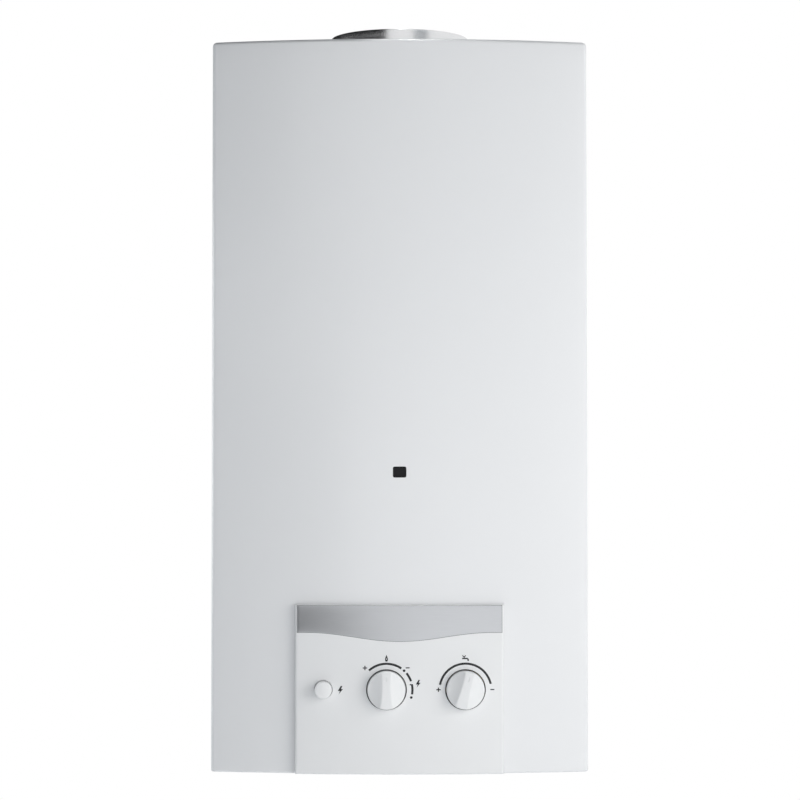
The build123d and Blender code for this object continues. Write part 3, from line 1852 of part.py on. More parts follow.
# Z-section brackets
with BuildPart() as valve_bracket:
    bracket_reach = gas_back - chassis_sheet
    block(
        front_plane(chassis_sheet),
        (gas_knob_x, valve_bracket_z + bracket_sheet / 2),
        2 * valve_bracket_half_width,
        bracket_sheet,
        bracket_reach,
    )
    block(
        front_plane(chassis_sheet),
        (gas_knob_x, valve_bracket_z + bracket_flange / 2),
        2 * valve_bracket_half_width,
        bracket_flange,
        bracket_sheet,
    )
    block(
        front_plane(gas_back - bracket_sheet),
        (gas_knob_x, valve_bracket_z + bracket_sheet - valve_bracket_drop / 2),
        2 * valve_bracket_half_width,
        valve_bracket_drop,
        bracket_sheet,
    )
    bars(
        front_plane(chassis_sheet),
        valve_screw_places,
        bracket_sheet,
        frame_screw_radius + fit_gap,
        Mode.SUBTRACT,
    )

with BuildPart() as chamber_brackets:
    for bracket_z in bracket_levels:
        block(
            front_plane(chassis_sheet),
            (0, bracket_z - bracket_sheet / 2),
            chamber_bracket_width,
            bracket_sheet,
            jacket_back - chassis_sheet,
        )
        block(
            front_plane(chassis_sheet),
            (0, bracket_z - bracket_flange / 2),
            chamber_bracket_width,
            bracket_flange,
            bracket_sheet,
        )
        block(
            front_plane(jacket_back - bracket_sheet),
            (0, bracket_z - bracket_flange / 2),
            chamber_bracket_width,
            bracket_flange,
            bracket_sheet,
        )
    bars(
        front_plane(chassis_sheet),
        chamber_screw_places,
        bracket_sheet,
        frame_screw_radius + fit_gap,
        Mode.SUBTRACT,
    )

with BuildPart() as frame_screws:
    for screw_places, sheet in (
        (chamber_screw_places + valve_screw_places, bracket_sheet),
        (connector_screw_places, connector_bracket_sheet),
    ):
        shank = chassis_sheet - panel_skin_gap + sheet
        bars(front_plane(panel_skin_gap), screw_places, shank, frame_screw_radius)
        bars(front_plane(chassis_sheet + sheet), screw_places, frame_screw_head, frame_screw_head_radius)

# Flue hood, a tapered sheet box with a relief opening in its back
with BuildPart() as flue_hood:
    with BuildSketch(level_plane(hood_bottom)):
        with Locations((0, -jacket_middle)):
            Rectangle(jacket_width, jacket_depth)
    with BuildSketch(level_plane(hood_top)):
        with Locations((0, -flue_depth)):
            Rectangle(hood_top_width, hood_top_width)
    loft(ruled=True)
    with BuildSketch(level_plane(hood_bottom)):
        with Locations((0, -jacket_middle)):
            Rectangle(jacket_width - 2 * hood_sheet, jacket_depth - 2 * hood_sheet)
    with BuildSketch(level_plane(hood_top - hood_sheet)):
        with Locations((0, -flue_depth)):
            Rectangle(hood_top_width - 2 * hood_sheet, hood_top_width - 2 * hood_sheet)
    loft(ruled=True, mode=Mode.SUBTRACT)
    with BuildSketch(level_plane(hood_bottom)):
        with Locations((0, -jacket_middle)):
            Rectangle(jacket_width + 2 * jacket_rim, jacket_depth + 2 * jacket_rim)
            Rectangle(jacket_width - 2 * hood_sheet, jacket_depth - 2 * hood_sheet, mode=Mode.SUBTRACT)
    extrude(amount=hood_flange_sheet)
    bars(
        level_plane(hood_top - hood_sheet),
        [(0, -flue_depth)],
        hood_sheet,
        flue_radius - flue_stop_width,
        Mode.SUBTRACT,
    )
    block(
        front_plane(0),
        (0, hood_bottom + relief_lift + relief_height / 2),
        relief_width,
        relief_height,
        jacket_back + lip_width,
        Mode.SUBTRACT,
    )
    bars(
        level_plane(hood_bottom),
        hood_screw_places,
        hood_flange_sheet,
        hood_screw_radius + fit_gap,
        Mode.SUBTRACT,
    )

with BuildPart() as hood_screws:
    hood_seat = hood_bottom + hood_flange_sheet
    bars(level_plane(hood_seat), hood_screw_places, hood_screw_head, hood_screw_head_radius)
    bars(
        level_plane(hood_bottom - jacket_rim_sheet),
        hood_screw_places,
        jacket_rim_sheet + hood_flange_sheet,
        hood_screw_radius,
    )

with BuildPart() as flue_collar:
    collar_place = [(0, -flue_depth)]
    bars(level_plane(hood_top), collar_place, hood_sheet, flue_flange_radius)
    bars(level_plane(hood_top), collar_place, flue_length, flue_radius + flue_wall)
    bars(
        level_plane(flue_top - flue_bead_height),
        collar_place,
        flue_bead_height,
        flue_radius + flue_wall + flue_bead,
    )
    bars(level_plane(hood_top), collar_place, flue_length, flue_radius, Mode.SUBTRACT)

# Spill sensor on the rear panel beside the relief opening
with BuildPart() as spill_sensor:
    sensor_z = floor_z + sensor_lift
    block(
        front_plane(chassis_sheet),
        (0, sensor_z),
        sensor_plate_width,
        sensor_plate_height,
        sensor_plate_thickness,
    )
    bars(front_plane(chassis_sheet + sensor_plate_thickness), [(0, sensor_z)], sensor_length, sensor_radius)
    for side in (-1, 1):
        block(
            front_plane(chassis_sheet + sensor_plate_thickness + sensor_length),
            (0, sensor_z + side * sensor_blade_pitch / 2),
            sensor_blade_width,
            sensor_blade_height,
            sensor_blade_length,
        )

# Overheat limiter clipped on the hot pipe
with BuildPart() as overheat_limiter:
    limiter_z = floor_z + limiter_lift
    limiter_place = [(-coil_inlet_x, -tube_depths[0])]
    clip_radius = pipe_radius + fit_gap + limiter_wall
    bars(level_plane(limiter_z), limiter_place, limiter_height, clip_radius)
    bars(
        front_plane(tube_depths[0]),
        [(-coil_inlet_x, limiter_z + limiter_height / 2)],
        clip_radius + limiter_disc_length,
        limiter_disc_radius,
    )
    bars(level_plane(limiter_z), limiter_place, limiter_height, pipe_radius + fit_gap, Mode.SUBTRACT)

pieces = {
    "rear_panel": rear_panel,
    "casing_screws": casing_screws,
    "front_casing": front_casing,
    "sight_glass": sight_glass,
    "control_fascia": control_fascia,
    "trim_strip": trim_strip,
    "fascia_screws": fascia_screws,
    "gas_knob": gas_knob,
    "water_knob": water_knob,
    "gas_spindle": gas_spindle,
    "water_spindle": water_spindle,
    "spindle_glands": spindle_glands,
    "gas_push_rod": gas_push_rod,
    "push_spring": push_spring,
    "gas_valve_body": gas_valve_body,
    "gas_valve_cap": gas_valve_cap,
    "interlock_rod": interlock_rod,
    "gas_disc": gas_disc,
    "valve_spring": valve_spring,
    "interlock_sleeve": interlock_sleeve,
    "magnet_unit": magnet_unit,
    "water_valve_body": water_valve_body,
    "water_valve_cover": water_valve_cover,
    "diaphragm": diaphragm,
    "valve_screws": valve_screws,
    "pipe_connectors": pipe_connectors,
    "connector_bracket": connector_bracket,
    "cold_inlet_pipe": cold_inlet_pipe,
    "gas_inlet_pipe": gas_inlet_pipe,
    "hot_outlet_pipe": hot_outlet_pipe,
    "supply_coil": supply_coil,
    "pipe_nuts": pipe_nuts,
    "combustion_jacket": combustion_jacket,
    "mica_window": mica_window,
    "fin_stack": fin_stack,
    "exchanger_tube": exchanger_tube,
    "burner_frame": burner_frame,
    "burner_bars": burner_bars,
    "gas_manifold": gas_manifold,
    "injectors": injectors,
    "manifold_riser": manifold_riser,
    "pilot_burner": pilot_burner,
    "pilot_tube": pilot_tube,
    "thermocouple": thermocouple,
    "ignition_electrode": ignition_electrode,
    "ignition_lead": ignition_lead,
    "piezo_bracket": piezo_bracket,
    "piezo_body": piezo_body,
    "piezo_nut": piezo_nut,
    "piezo_button": piezo_button,
    "piezo_spring": piezo_spring,
    "valve_bracket": valve_bracket,
    "chamber_brackets": chamber_brackets,
    "frame_screws": frame_screws,
    "flue_hood": flue_hood,
    "hood_screws": hood_screws,
    "flue_collar": flue_collar,
    "spill_sensor": spill_sensor,
    "overheat_limiter": overheat_limiter,
}

os.makedirs("parts", exist_ok=True)
for name, piece in pieces.items():
    piece.part.label = name
    export_step(piece.part, f"parts/{name}.step")
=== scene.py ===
# %% [markdown]
# A wall-hung gas water heater, dressed for a studio picture.
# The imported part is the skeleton: every rod, pipe and panel already stands in its true place.
# What is left is skin. Sheet steel that looks rolled, plastic that looks moulded, copper that has been hot.
# All new shapes here are arrays worked out with numpy, in millimetres, and put into meshes in one go.

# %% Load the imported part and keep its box
import json
import math

import bmesh
import bpy
import numpy as np
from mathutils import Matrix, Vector


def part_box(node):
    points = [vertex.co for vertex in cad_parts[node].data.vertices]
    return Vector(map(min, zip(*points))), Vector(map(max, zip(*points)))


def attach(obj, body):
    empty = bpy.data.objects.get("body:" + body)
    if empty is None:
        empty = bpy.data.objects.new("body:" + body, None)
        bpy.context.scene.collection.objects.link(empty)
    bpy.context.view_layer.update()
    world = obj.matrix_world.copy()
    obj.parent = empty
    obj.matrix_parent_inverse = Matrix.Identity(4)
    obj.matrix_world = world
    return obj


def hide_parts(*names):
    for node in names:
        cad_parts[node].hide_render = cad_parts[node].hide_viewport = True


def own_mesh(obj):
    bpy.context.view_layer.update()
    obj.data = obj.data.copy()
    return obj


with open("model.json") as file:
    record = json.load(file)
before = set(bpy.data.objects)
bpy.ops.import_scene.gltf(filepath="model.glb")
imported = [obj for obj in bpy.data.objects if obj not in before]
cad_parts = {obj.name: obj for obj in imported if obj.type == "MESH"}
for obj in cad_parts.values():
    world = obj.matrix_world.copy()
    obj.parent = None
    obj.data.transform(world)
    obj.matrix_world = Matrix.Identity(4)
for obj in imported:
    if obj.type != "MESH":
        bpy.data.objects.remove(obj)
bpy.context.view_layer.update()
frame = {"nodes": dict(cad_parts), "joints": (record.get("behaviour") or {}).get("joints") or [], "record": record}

# %% [markdown]
# A few helpers carry every piece of this lesson. The first two turn grids of coordinates into points and
# quads, for any surface with two parameters. The next two put surfaces into one mesh, weld their shared
# borders, turn the faces outwards and mark an edge sharp where its faces meet at more than a given angle.

# %% Grids of points
def grid_quads(rows, columns, wrap=False):
    """Point numbers of the quads of a grid; wrap joins the last column to the first."""
    across = columns if wrap else columns - 1
    row, column = np.meshgrid(np.arange(rows - 1), np.arange(across), indexing="ij")
    here, beside = row * columns, (column + 1) % columns
    above = here + columns
    return np.stack([here + column, here + beside, above + beside, above + column], axis=-1).reshape(-1, 4)


def sheet_of(x, y, z, wrap=False, keep=None):
    """Points and quads of a surface from three grids of coordinates; keep marks the cells that stay."""
    x, y, z = np.broadcast_arrays(x, y, z)
    quads = grid_quads(*x.shape, wrap)
    if keep is not None:
        quads = quads[keep.ravel()]
    return np.stack([x, y, z], axis=-1).reshape(-1, 3), quads


# %% Objects from surfaces
MM = 0.001
WELD = 2e-6


def shaded(name, mesh, crease_deg):
    """An object in the scene: smooth, but sharp where two faces meet at more than the crease."""
    mesh.shade_smooth()
    mesh.set_sharp_from_angle(angle=math.radians(crease_deg))
    made = bpy.data.objects.new(name, mesh)
    bpy.context.scene.collection.objects.link(made)
    return made


def mesh_object(name, surfaces, crease_deg, towards=None):
    """One object from several surfaces, welded, with its faces outwards or towards a direction."""
    starts = np.cumsum([0] + [len(points) for points, quads in surfaces])
    points = np.concatenate([points for points, quads in surfaces]) * MM
    quads = np.concatenate([quads + start for (_, quads), start in zip(surfaces, starts)])
    mesh = bpy.data.meshes.new(name)
    mesh.from_pydata(points.tolist(), [], quads.tolist())
    shape = bmesh.new()
    shape.from_mesh(mesh)
    bmesh.ops.remove_doubles(shape, verts=shape.verts, dist=WELD)
    bmesh.ops.dissolve_degenerate(shape, edges=shape.edges, dist=WELD)
    loose = [vert for vert in shape.verts if not vert.link_faces]
    bmesh.ops.delete(shape, geom=loose, context="VERTS")
    bmesh.ops.recalc_face_normals(shape, faces=shape.faces)
    if towards is not None:
        facing = sum(face.calc_area() * face.normal.dot(towards) for face in shape.faces)
        if facing < 0:
            bmesh.ops.reverse_faces(shape, faces=shape.faces)
    shape.to_mesh(mesh)
    shape.free()
    return shaded(name, mesh, crease_deg)


# %% [markdown]
# Every piece is then dressed: it gets its finish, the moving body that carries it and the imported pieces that
# it stands for. Sheet pieces get their thickness from a modifier. The last helpers are about drawing: evenly
# spaced grid lines, angles once round a circle, and the quarter circle that rounds nearly every edge here.

# %% Dressing a piece
def dress(made, material, body, stands_for=()):
    """Gives a piece its finish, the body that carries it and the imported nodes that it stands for."""
    made.data.materials.clear()
    made.data.materials.append(material)
    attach(made, body)
    if stands_for:
        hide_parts(*stands_for)
    print(made.name, "faces", len(made.data.polygons))
    return made


def thicken(made, wall):
    """Gives a sheet its thickness, behind the face that was drawn."""
    solid = made.modifiers.new("wall", "SOLIDIFY")
    solid.thickness = wall * MM
    solid.offset = -1
    solid.use_even_offset = True
    solid.use_quality_normals = True
    return made


# %% Drawing helpers
def steps(start, end, size):
    """Evenly spaced values from start to end, at most one size apart."""
    return np.linspace(start, end, max(2, math.ceil(abs(end - start) / size) + 1))


def joined(*runs):
    """One rising list of grid lines from several runs, with the shared ends kept once."""
    return np.unique(np.round(np.concatenate(runs), 6))


def full_turn(count):
    """Angles once round a circle, as one row."""
    return np.linspace(0, 2 * np.pi, count, endpoint=False)[None, :]


def quarter(radius, count):
    """A quarter circle over an edge, from side to face: the way gone inwards and the way left to rise."""
    turn = np.linspace(0, np.pi / 2, count)
    return radius * (1 - np.cos(turn)), radius * (1 - np.sin(turn))


# %% [markdown]
# Finishes come next. Four effects are used by many of them, so each is a shader node group:
# a fine grain for paint and plastic, long draw lines for rolled and drawn metal, the crystal spangle of
# galvanised sheet, and the straw and violet tints that heat leaves. Groups only put out colours, values and
# heights. The shader itself stays in each material, where an exporter can read it.

# %% Helpers for nodes
def rgba(*colour):
    """A colour with full alpha."""
    return (*colour, 1.0)


def add_node(tree, kind, inputs=None, **settings):
    """Adds a node, sets its properties, and links or sets its inputs by name or number."""
    node = tree.nodes.new(kind)
    for name, value in settings.items():
        setattr(node, name, value)
    for name, value in (inputs or {}).items():
        if isinstance(value, bpy.types.NodeSocket):
            tree.links.new(value, node.inputs[name])
        else:
            node.inputs[name].default_value = value
    return node


def object_place(tree):
    """Coordinates in the piece's own frame, so that a texture moves with the piece."""
    return add_node(tree, "ShaderNodeTexCoord").outputs["Object"]


def noise(tree, place, scale, detail):
    """The outputs of a noise texture."""
    return add_node(tree, "ShaderNodeTexNoise", {"Vector": place, "Scale": scale, "Detail": detail}).outputs


def maths(tree, operation, *values):
    """The result of a Math node on links or numbers."""
    return add_node(tree, "ShaderNodeMath", dict(enumerate(values)), operation=operation).outputs[0]


def ramp(tree, value, low, high, low_result=0.0, high_result=1.0):
    """A smooth step from one result to the other, as the value goes from low to high."""
    inputs = {"Value": value, "From Min": low, "From Max": high, "To Min": low_result, "To Max": high_result}
    return add_node(tree, "ShaderNodeMapRange", inputs, interpolation_type="SMOOTHSTEP").outputs[0]


def mix_colours(tree, factor, first, second, blend="MIX"):
    """The colour output of a Mix node between two colours."""
    inputs = {0: factor, 6: first, 7: second}
    return add_node(tree, "ShaderNodeMix", inputs, data_type="RGBA", blend_type=blend).outputs[2]


def spread_about(tree, wander, middle, spread):
    """A value that wanders about a middle by a spread, as noise goes from 0 to 1."""
    return maths(tree, "MULTIPLY_ADD", maths(tree, "SUBTRACT", wander, 0.5), spread, middle)


# %% Helpers for groups
def new_group(name, inputs, outputs):
    """A node group with its entry and exit sockets; an input's first value tells what kind it is."""
    group = bpy.data.node_groups.new(name, "ShaderNodeTree")
    for socket, value in inputs.items():
        kind = "Float" if isinstance(value, float) else "Color" if len(value) == 4 else "Vector"
        made = group.interface.new_socket(socket, in_out="INPUT", socket_type=f"NodeSocket{kind}")
        made.default_value = value
    for socket in outputs:
        kind = "Color" if socket == "Colour" else "Float"
        group.interface.new_socket(socket, in_out="OUTPUT", socket_type=f"NodeSocket{kind}")
    print("group", name, "inputs", len(inputs), "outputs", len(outputs))
    return group, group.nodes.new("NodeGroupInput").outputs, group.nodes.new("NodeGroupOutput").inputs


def texture_group(name, inputs):
    """A group that puts out a surface: colour, roughness and height."""
    return new_group(name, inputs, ["Colour", "Roughness", "Height"])


def put_out(group, entry, leave, share, wander, height):
    """Ends a texture: a colour between two by a share, a roughness about its middle, and a height."""
    group.links.new(mix_colours(group, share, entry["Colour"], entry["Shade"]), leave["Colour"])
    rough = spread_about(group, wander, entry["Roughness"], entry["Roughness Spread"])
    group.links.new(rough, leave["Roughness"])
    group.links.new(height, leave["Height"])
    return group


# %% Group: fine grain
def make_fine_grain():
    """Noise at two sizes: the fine one lifts the surface, the slow one shifts colour and roughness."""
    inputs = {"Colour": rgba(0.8, 0.8, 0.8), "Shade": rgba(0.7, 0.7, 0.7), "Grain Scale": 800.0}
    inputs |= {"Cloud Scale": 9.0, "Cloud Share": 0.3, "Roughness": 0.4, "Roughness Spread": 0.1}
    group, entry, leave = texture_group("fine_grain", inputs)
    place = object_place(group)
    grain = noise(group, place, entry["Grain Scale"], detail=3.0)["Fac"]
    cloud = noise(group, place, entry["Cloud Scale"], detail=4.0)["Fac"]
    share = maths(group, "MULTIPLY", cloud, entry["Cloud Share"])
    return put_out(group, entry, leave, share, cloud, grain)


fine_grain = make_fine_grain()


# %% Group: draw lines
def make_draw_lines():
    """Noise stretched along one direction, as rolling, drawing or brushing leaves it."""
    inputs = {"Colour": rgba(0.7, 0.7, 0.7), "Shade": rgba(0.5, 0.5, 0.5), "Stretch": (1.0, 1.0, 0.02)}
    inputs |= {"Scale": 1500.0, "Roughness": 0.3, "Roughness Spread": 0.2}
    group, entry, leave = texture_group("draw_lines", inputs)
    place = object_place(group)
    drawn = add_node(group, "ShaderNodeMapping", {"Vector": place, "Scale": entry["Stretch"]}).outputs[0]
    line = noise(group, drawn, entry["Scale"], detail=2.0)["Fac"]
    slow = noise(group, place, scale=14.0, detail=5.0)["Fac"]
    return put_out(group, entry, leave, maths(group, "MULTIPLY", line, slow), line, line)


draw_lines = make_draw_lines()


# %% Group: zinc spangle
def make_spangle():
    """Zinc crystals: each cell of a Voronoi pattern has a shade and a gloss of its own."""
    inputs = {"Colour": rgba(0.66, 0.68, 0.7), "Shade": rgba(0.46, 0.48, 0.5), "Scale": 150.0}
    inputs |= {"Roughness": 0.38, "Roughness Spread": 0.22}
    group, entry, leave = texture_group("spangle", inputs)
    place = object_place(group)
    wander = noise(group, place, scale=60.0, detail=3.0)["Color"]
    bent = mix_colours(group, factor=0.03, first=place, second=wander, blend="ADD")
    pattern = {"Vector": bent, "Scale": entry["Scale"]}
    cell = add_node(group, "ShaderNodeTexVoronoi", pattern, feature="F1").outputs
    shade = add_node(group, "ShaderNodeSeparateColor", {"Color": cell["Color"]}).outputs
    return put_out(group, entry, leave, shade["Red"], shade["Green"], cell["Distance"])


spangle = make_spangle()


# %% Group: heat tint
def make_heat_tint():
    """Tints a metal by height: bare far from the flame, then straw, then a dull violet nearest to it."""
    inputs = {"Colour": rgba(0.7, 0.4, 0.3), "Straw": rgba(0.55, 0.32, 0.12), "Violet": rgba(0.22, 0.13, 0.2)}
    inputs |= {"Cool Height": 0.1, "Hot Height": -0.09, "Share": 0.8}
    group, entry, leave = new_group("heat_tint", inputs, ["Colour"])
    place = object_place(group)
    height = add_node(group, "ShaderNodeSeparateXYZ", {"Vector": place}).outputs["Z"]
    cloud = noise(group, place, scale=22.0, detail=5.0)["Fac"]
    lifted = spread_about(group, cloud, middle=height, spread=0.09)
    heat = ramp(group, lifted, entry["Cool Height"], entry["Hot Height"])
    share = maths(group, "MULTIPLY", heat, entry["Share"])
    straw = mix_colours(group, share, entry["Colour"], entry["Straw"])
    deep = maths(group, "POWER", share, 3.0)
    group.links.new(mix_colours(group, deep, straw, entry["Violet"]), leave["Colour"])
    return group


heat_tint = make_heat_tint()

# %% [markdown]
# A finish is one material: a group draws the surface and the material's own shader lights it. Each finish
# says only what sets it apart. A value goes to the group if the group has a socket of that name, or else to
# the shader, so a metal is told from a plastic by one number.

# %% A finish from a group
def finish(name, group, colour=None, shade=None, bump_mm=0.0, tint=None, **values):
    """A material: a group gives colour, roughness and bump; values go to the group or to the shader."""
    material = bpy.data.materials.new(name)
    material.use_nodes = True
    tree = material.node_tree
    shader = tree.nodes["Principled BSDF"]
    texture = add_node(tree, "ShaderNodeGroup", node_tree=group)
    if colour:
        values |= {"Colour": rgba(*colour), "Shade": rgba(*shade)}
    for key, value in values.items():
        socket = key.replace("_", " ")
        owner = texture if socket in texture.inputs else shader
        owner.inputs[socket].default_value = value
    drawn = texture.outputs["Colour"]
    if tint:
        heated = add_node(tree, "ShaderNodeGroup", {"Colour": drawn, **tint}, node_tree=heat_tint)
        drawn = heated.outputs["Colour"]
    tree.links.new(drawn, shader.inputs["Base Color"])
    tree.links.new(texture.outputs["Roughness"], shader.inputs["Roughness"])
    if bump_mm:
        relief = {"Height": texture.outputs["Height"], "Distance": bump_mm * MM}
        bump = add_node(tree, "ShaderNodeBump", relief)
        tree.links.new(bump.outputs["Normal"], shader.inputs["Normal"])
    return material


# %% [markdown]
# The casing is one wrapper of white enamelled steel: straight sides, a gently bowed front and a rolled
# lip at top and bottom. Seen from above it is a path; seen from the side it is a profile. So the sheet is
# that profile carried round that path, with the window and the opening behind the controls left out of the
# grid. A Solidify modifier then gives the sheet its millimetre of steel.

# %% Casing: the path seen from above
CASING_HALF = 175.0
CASING_DEPTH = 236.0
BOW_RISE = 23.0
BOW_RADIUS = (CASING_HALF**2 + BOW_RISE**2) / (2 * BOW_RISE)
CASING_BEND = 5.0
WALL_GAP = 0.5
SIDE_DEPTH = 205.0
SIGHT_PATCH = (12.0, 10.0)
FASCIA_HALF = 96.0
OPENING_MARGIN = 12.0
OPENING_X = FASCIA_HALF - OPENING_MARGIN
SCREW_SLOT_DEPTH = 15.4
BOW_STEP, SIGHT_STEP = 6.0, 2.0


def bow_depth(x, stand_off=0.0):
    """Depth of the bowed front: an arc of one circle through the crown, moved outwards by the stand-off."""
    return CASING_DEPTH - BOW_RADIUS + np.sqrt((BOW_RADIUS + stand_off) ** 2 - x**2)


def tangent_x(inset, bend):
    """Where the corner bend meets the bow: on the line from the bow's centre through the bend's centre."""
    return (CASING_HALF - inset - bend) * (BOW_RADIUS - inset) / (BOW_RADIUS - inset - bend)


bow_edge = tangent_x(0.0, CASING_BEND)
sight_lines_x = steps(-SIGHT_PATCH[0], SIGHT_PATCH[0], SIGHT_STEP)
right_lines = joined(steps(SIGHT_PATCH[0], OPENING_X, BOW_STEP), steps(OPENING_X, bow_edge, BOW_STEP))
bow_lines = joined(-right_lines, sight_lines_x, right_lines)
side_lines = joined(steps(WALL_GAP, SCREW_SLOT_DEPTH, 8.0), steps(SCREW_SLOT_DEPTH, SIDE_DEPTH, 16.0))
print("bow radius", round(BOW_RADIUS, 1), "mm, grid lines across the bow", len(bow_lines))

# %% Casing: the path at an inset
LEAST_BEND = 0.5
LIP_WIDTH = 15.0
bend_turns = np.linspace(0, 1, 7)[1:-1]


def plan_path(inset):
    """The casing seen from above at an inset: x and depth along side, bend, bow, bend and side."""
    half = CASING_HALF - inset
    bend = CASING_BEND if inset >= LIP_WIDTH else max(CASING_BEND - inset, LEAST_BEND)
    reach = BOW_RADIUS - inset - bend
    bow_x = bow_lines * tangent_x(inset, bend) / bow_edge
    bow_y = bow_depth(bow_x, -inset)
    centre_depth = CASING_DEPTH - BOW_RADIUS + math.sqrt(reach**2 - (half - bend) ** 2)
    lean = math.asin((half - bend) / reach)
    turn = math.pi / 2 - (math.pi / 2 - lean) * bend_turns
    bend_x = half - bend + bend * np.sin(turn)
    bend_y = centre_depth + bend * np.cos(turn)
    side_y = side_lines * centre_depth / side_lines[-1]
    side_y = np.where(side_lines <= SCREW_SLOT_DEPTH, side_lines, side_y)
    right_x = np.concatenate([np.full(len(side_y), half), bend_x])
    right_y = np.concatenate([side_y, bend_y])
    return np.concatenate([-right_x, bow_x, right_x[::-1]]), np.concatenate([right_y, bow_y, right_y[::-1]])


# %% Casing: the profile seen from the side
FLOOR_Z, ROOF_Z = -340.0, 340.0
LIP_BEND, ROOF_BEND = 2.0, 4.0
LIP_STEPS = 8
FLAT_END = 5.0
SIGHT_Z = FLOOR_Z + 277.3
FASCIA_TOP = FLOOR_Z + 155.5
SCREW_SLOT_INSETS = (6.6, 11.4)
opening_rise = (FLOOR_Z + OPENING_MARGIN, FASCIA_TOP - OPENING_MARGIN)
sight_rise = (SIGHT_Z - SIGHT_PATCH[1], SIGHT_Z + SIGHT_PATCH[1])
sight_lines_z = steps(*sight_rise, SIGHT_STEP)
wall_lines = joined(
    steps(FLOOR_Z + LIP_BEND, opening_rise[0], 10.0),
    steps(*opening_rise, 12.0),
    steps(opening_rise[1], sight_rise[0], 12.0),
    sight_lines_z,
    steps(sight_rise[1], ROOF_Z - ROOF_BEND, 14.0),
)
lip_insets = np.array([LIP_WIDTH, *SCREW_SLOT_INSETS[::-1], FLAT_END])


def lip_profile(bend):
    """Insets and rises of a lip, from its free edge to the wall: flat sheet, then a quarter circle."""
    rise, inset = quarter(bend, LIP_STEPS)
    return np.append(lip_insets, inset[:-1]), np.append(0 * lip_insets, rise[:-1])


lower_insets, lower_rise = lip_profile(LIP_BEND)
upper_insets, upper_rise = lip_profile(ROOF_BEND)
insets = np.concatenate([lower_insets, 0 * wall_lines, upper_insets[::-1]])
levels = np.concatenate([FLOOR_Z + lower_rise, wall_lines, ROOF_Z - upper_rise[::-1]])
casing_x, casing_depth = np.array([plan_path(inset) for inset in insets]).transpose(1, 0, 2)
casing_y = -casing_depth
casing_z = np.broadcast_to(levels[:, None], casing_x.shape)
print("casing grid", casing_x.shape)

# %% [markdown]
# A hole in a grid needs a patch: a ring of quads from the border of a rectangle of grid lines to the hole's
# own edge. Each border point looks towards the middle and stops where the edge crosses its line of sight.
# The same patch makes the sight window here and the round wells of the knobs further on.

# %% Patches round holes
def ring_patch(middle, lines_x, lines_z, edge_radius, shares):
    """Points from a rectangle's border to a closed edge inside it, on straight lines towards the middle."""
    across, up = len(lines_x) - 1, len(lines_z) - 1
    left, right = np.full(up, lines_x[0]), np.full(up, lines_x[-1])
    low, high = np.full(across, lines_z[0]), np.full(across, lines_z[-1])
    border_x = np.concatenate([lines_x[:-1], right, lines_x[:0:-1], left])
    border_z = np.concatenate([low, lines_z[:-1], high, lines_z[:0:-1]])
    angle = np.arctan2(border_z - middle[1], border_x - middle[0])
    edge_x = middle[0] + edge_radius(angle) * np.cos(angle)
    edge_z = middle[1] + edge_radius(angle) * np.sin(angle)
    share = np.array(shares)[:, None]
    return border_x * (1 - share) + edge_x * share, border_z * (1 - share) + edge_z * share


def window_radius(half_width, half_height, square=9.0):
    """Radius of a rounded rectangle at an angle, as a superellipse of a high power."""

    def radius(angle):
        """One over the root of the summed powers of cosine and sine, in parts of the half sizes."""
        across = np.abs(np.cos(angle) / half_width) ** square
        up = np.abs(np.sin(angle) / half_height) ** square
        return (across + up) ** (-1 / square)

    return radius


def cell_middles(grid):
    """Middle value of each cell of a grid."""
    return (grid[:-1, :-1] + grid[1:, :-1] + grid[:-1, 1:] + grid[1:, 1:]) / 4


# %% Casing: openings and object
FRONT = Vector((0, -1, 0))
SHEET = 1.0
SIGHT_HALF = (6.2, 5.1)
SIGHT_SHARES = (0.0, 0.4, 0.75, 0.92, 1.0)
middle_x, middle_y, middle_z = (cell_middles(grid) for grid in (casing_x, casing_y, casing_z))
off_middle = abs(middle_x)
in_front = middle_y < -(CASING_DEPTH - BOW_RISE)
in_opening = in_front & (off_middle < OPENING_X)
in_opening &= (middle_z > opening_rise[0]) & (middle_z < opening_rise[1])
in_sight = in_front & (off_middle < SIGHT_PATCH[0]) & (abs(middle_z - SIGHT_Z) < SIGHT_PATCH[1])
slot_inset = CASING_HALF - off_middle
in_slot = (middle_z == FLOOR_Z) & (middle_y > -SCREW_SLOT_DEPTH)
in_slot &= (slot_inset > SCREW_SLOT_INSETS[0]) & (slot_inset < SCREW_SLOT_INSETS[1])
wrapper = sheet_of(casing_x, casing_y, casing_z, keep=~(in_opening | in_sight | in_slot))
sight_edge = window_radius(*SIGHT_HALF)
patch_x, patch_z = ring_patch((0.0, SIGHT_Z), sight_lines_x, sight_lines_z, sight_edge, SIGHT_SHARES)
sight_patch = sheet_of(patch_x, -bow_depth(patch_x), patch_z, wrap=True)

white_enamel = finish(
    "white_enamel", fine_grain, (0.80, 0.805, 0.815), (0.775, 0.785, 0.80), bump_mm=0.012,
    Grain_Scale=520.0, Cloud_Scale=5.0, Cloud_Share=0.5, Roughness=0.33, Roughness_Spread=0.08,
    Coat_Weight=0.25, Coat_Roughness=0.12,
)
casing = mesh_object("enamelled_casing", [wrapper, sight_patch], crease_deg=40, towards=FRONT)
dress(thicken(casing, SHEET), white_enamel, "casing", ["front_casing"])

# %% [markdown]
# Behind the small window sits a pane of dark heat-proof glass. It is a slab with softened edges that lies
# against the inside of the bow, so it is built as a stack of rounded rectangles, one above the other.

# %% Sight glass
PANE_MARGIN = 4.0
PANE_THICKNESS = 2.0
PANE_GAP = 0.05
PANE_ROUND = 0.4
ROUND_STEPS = 96


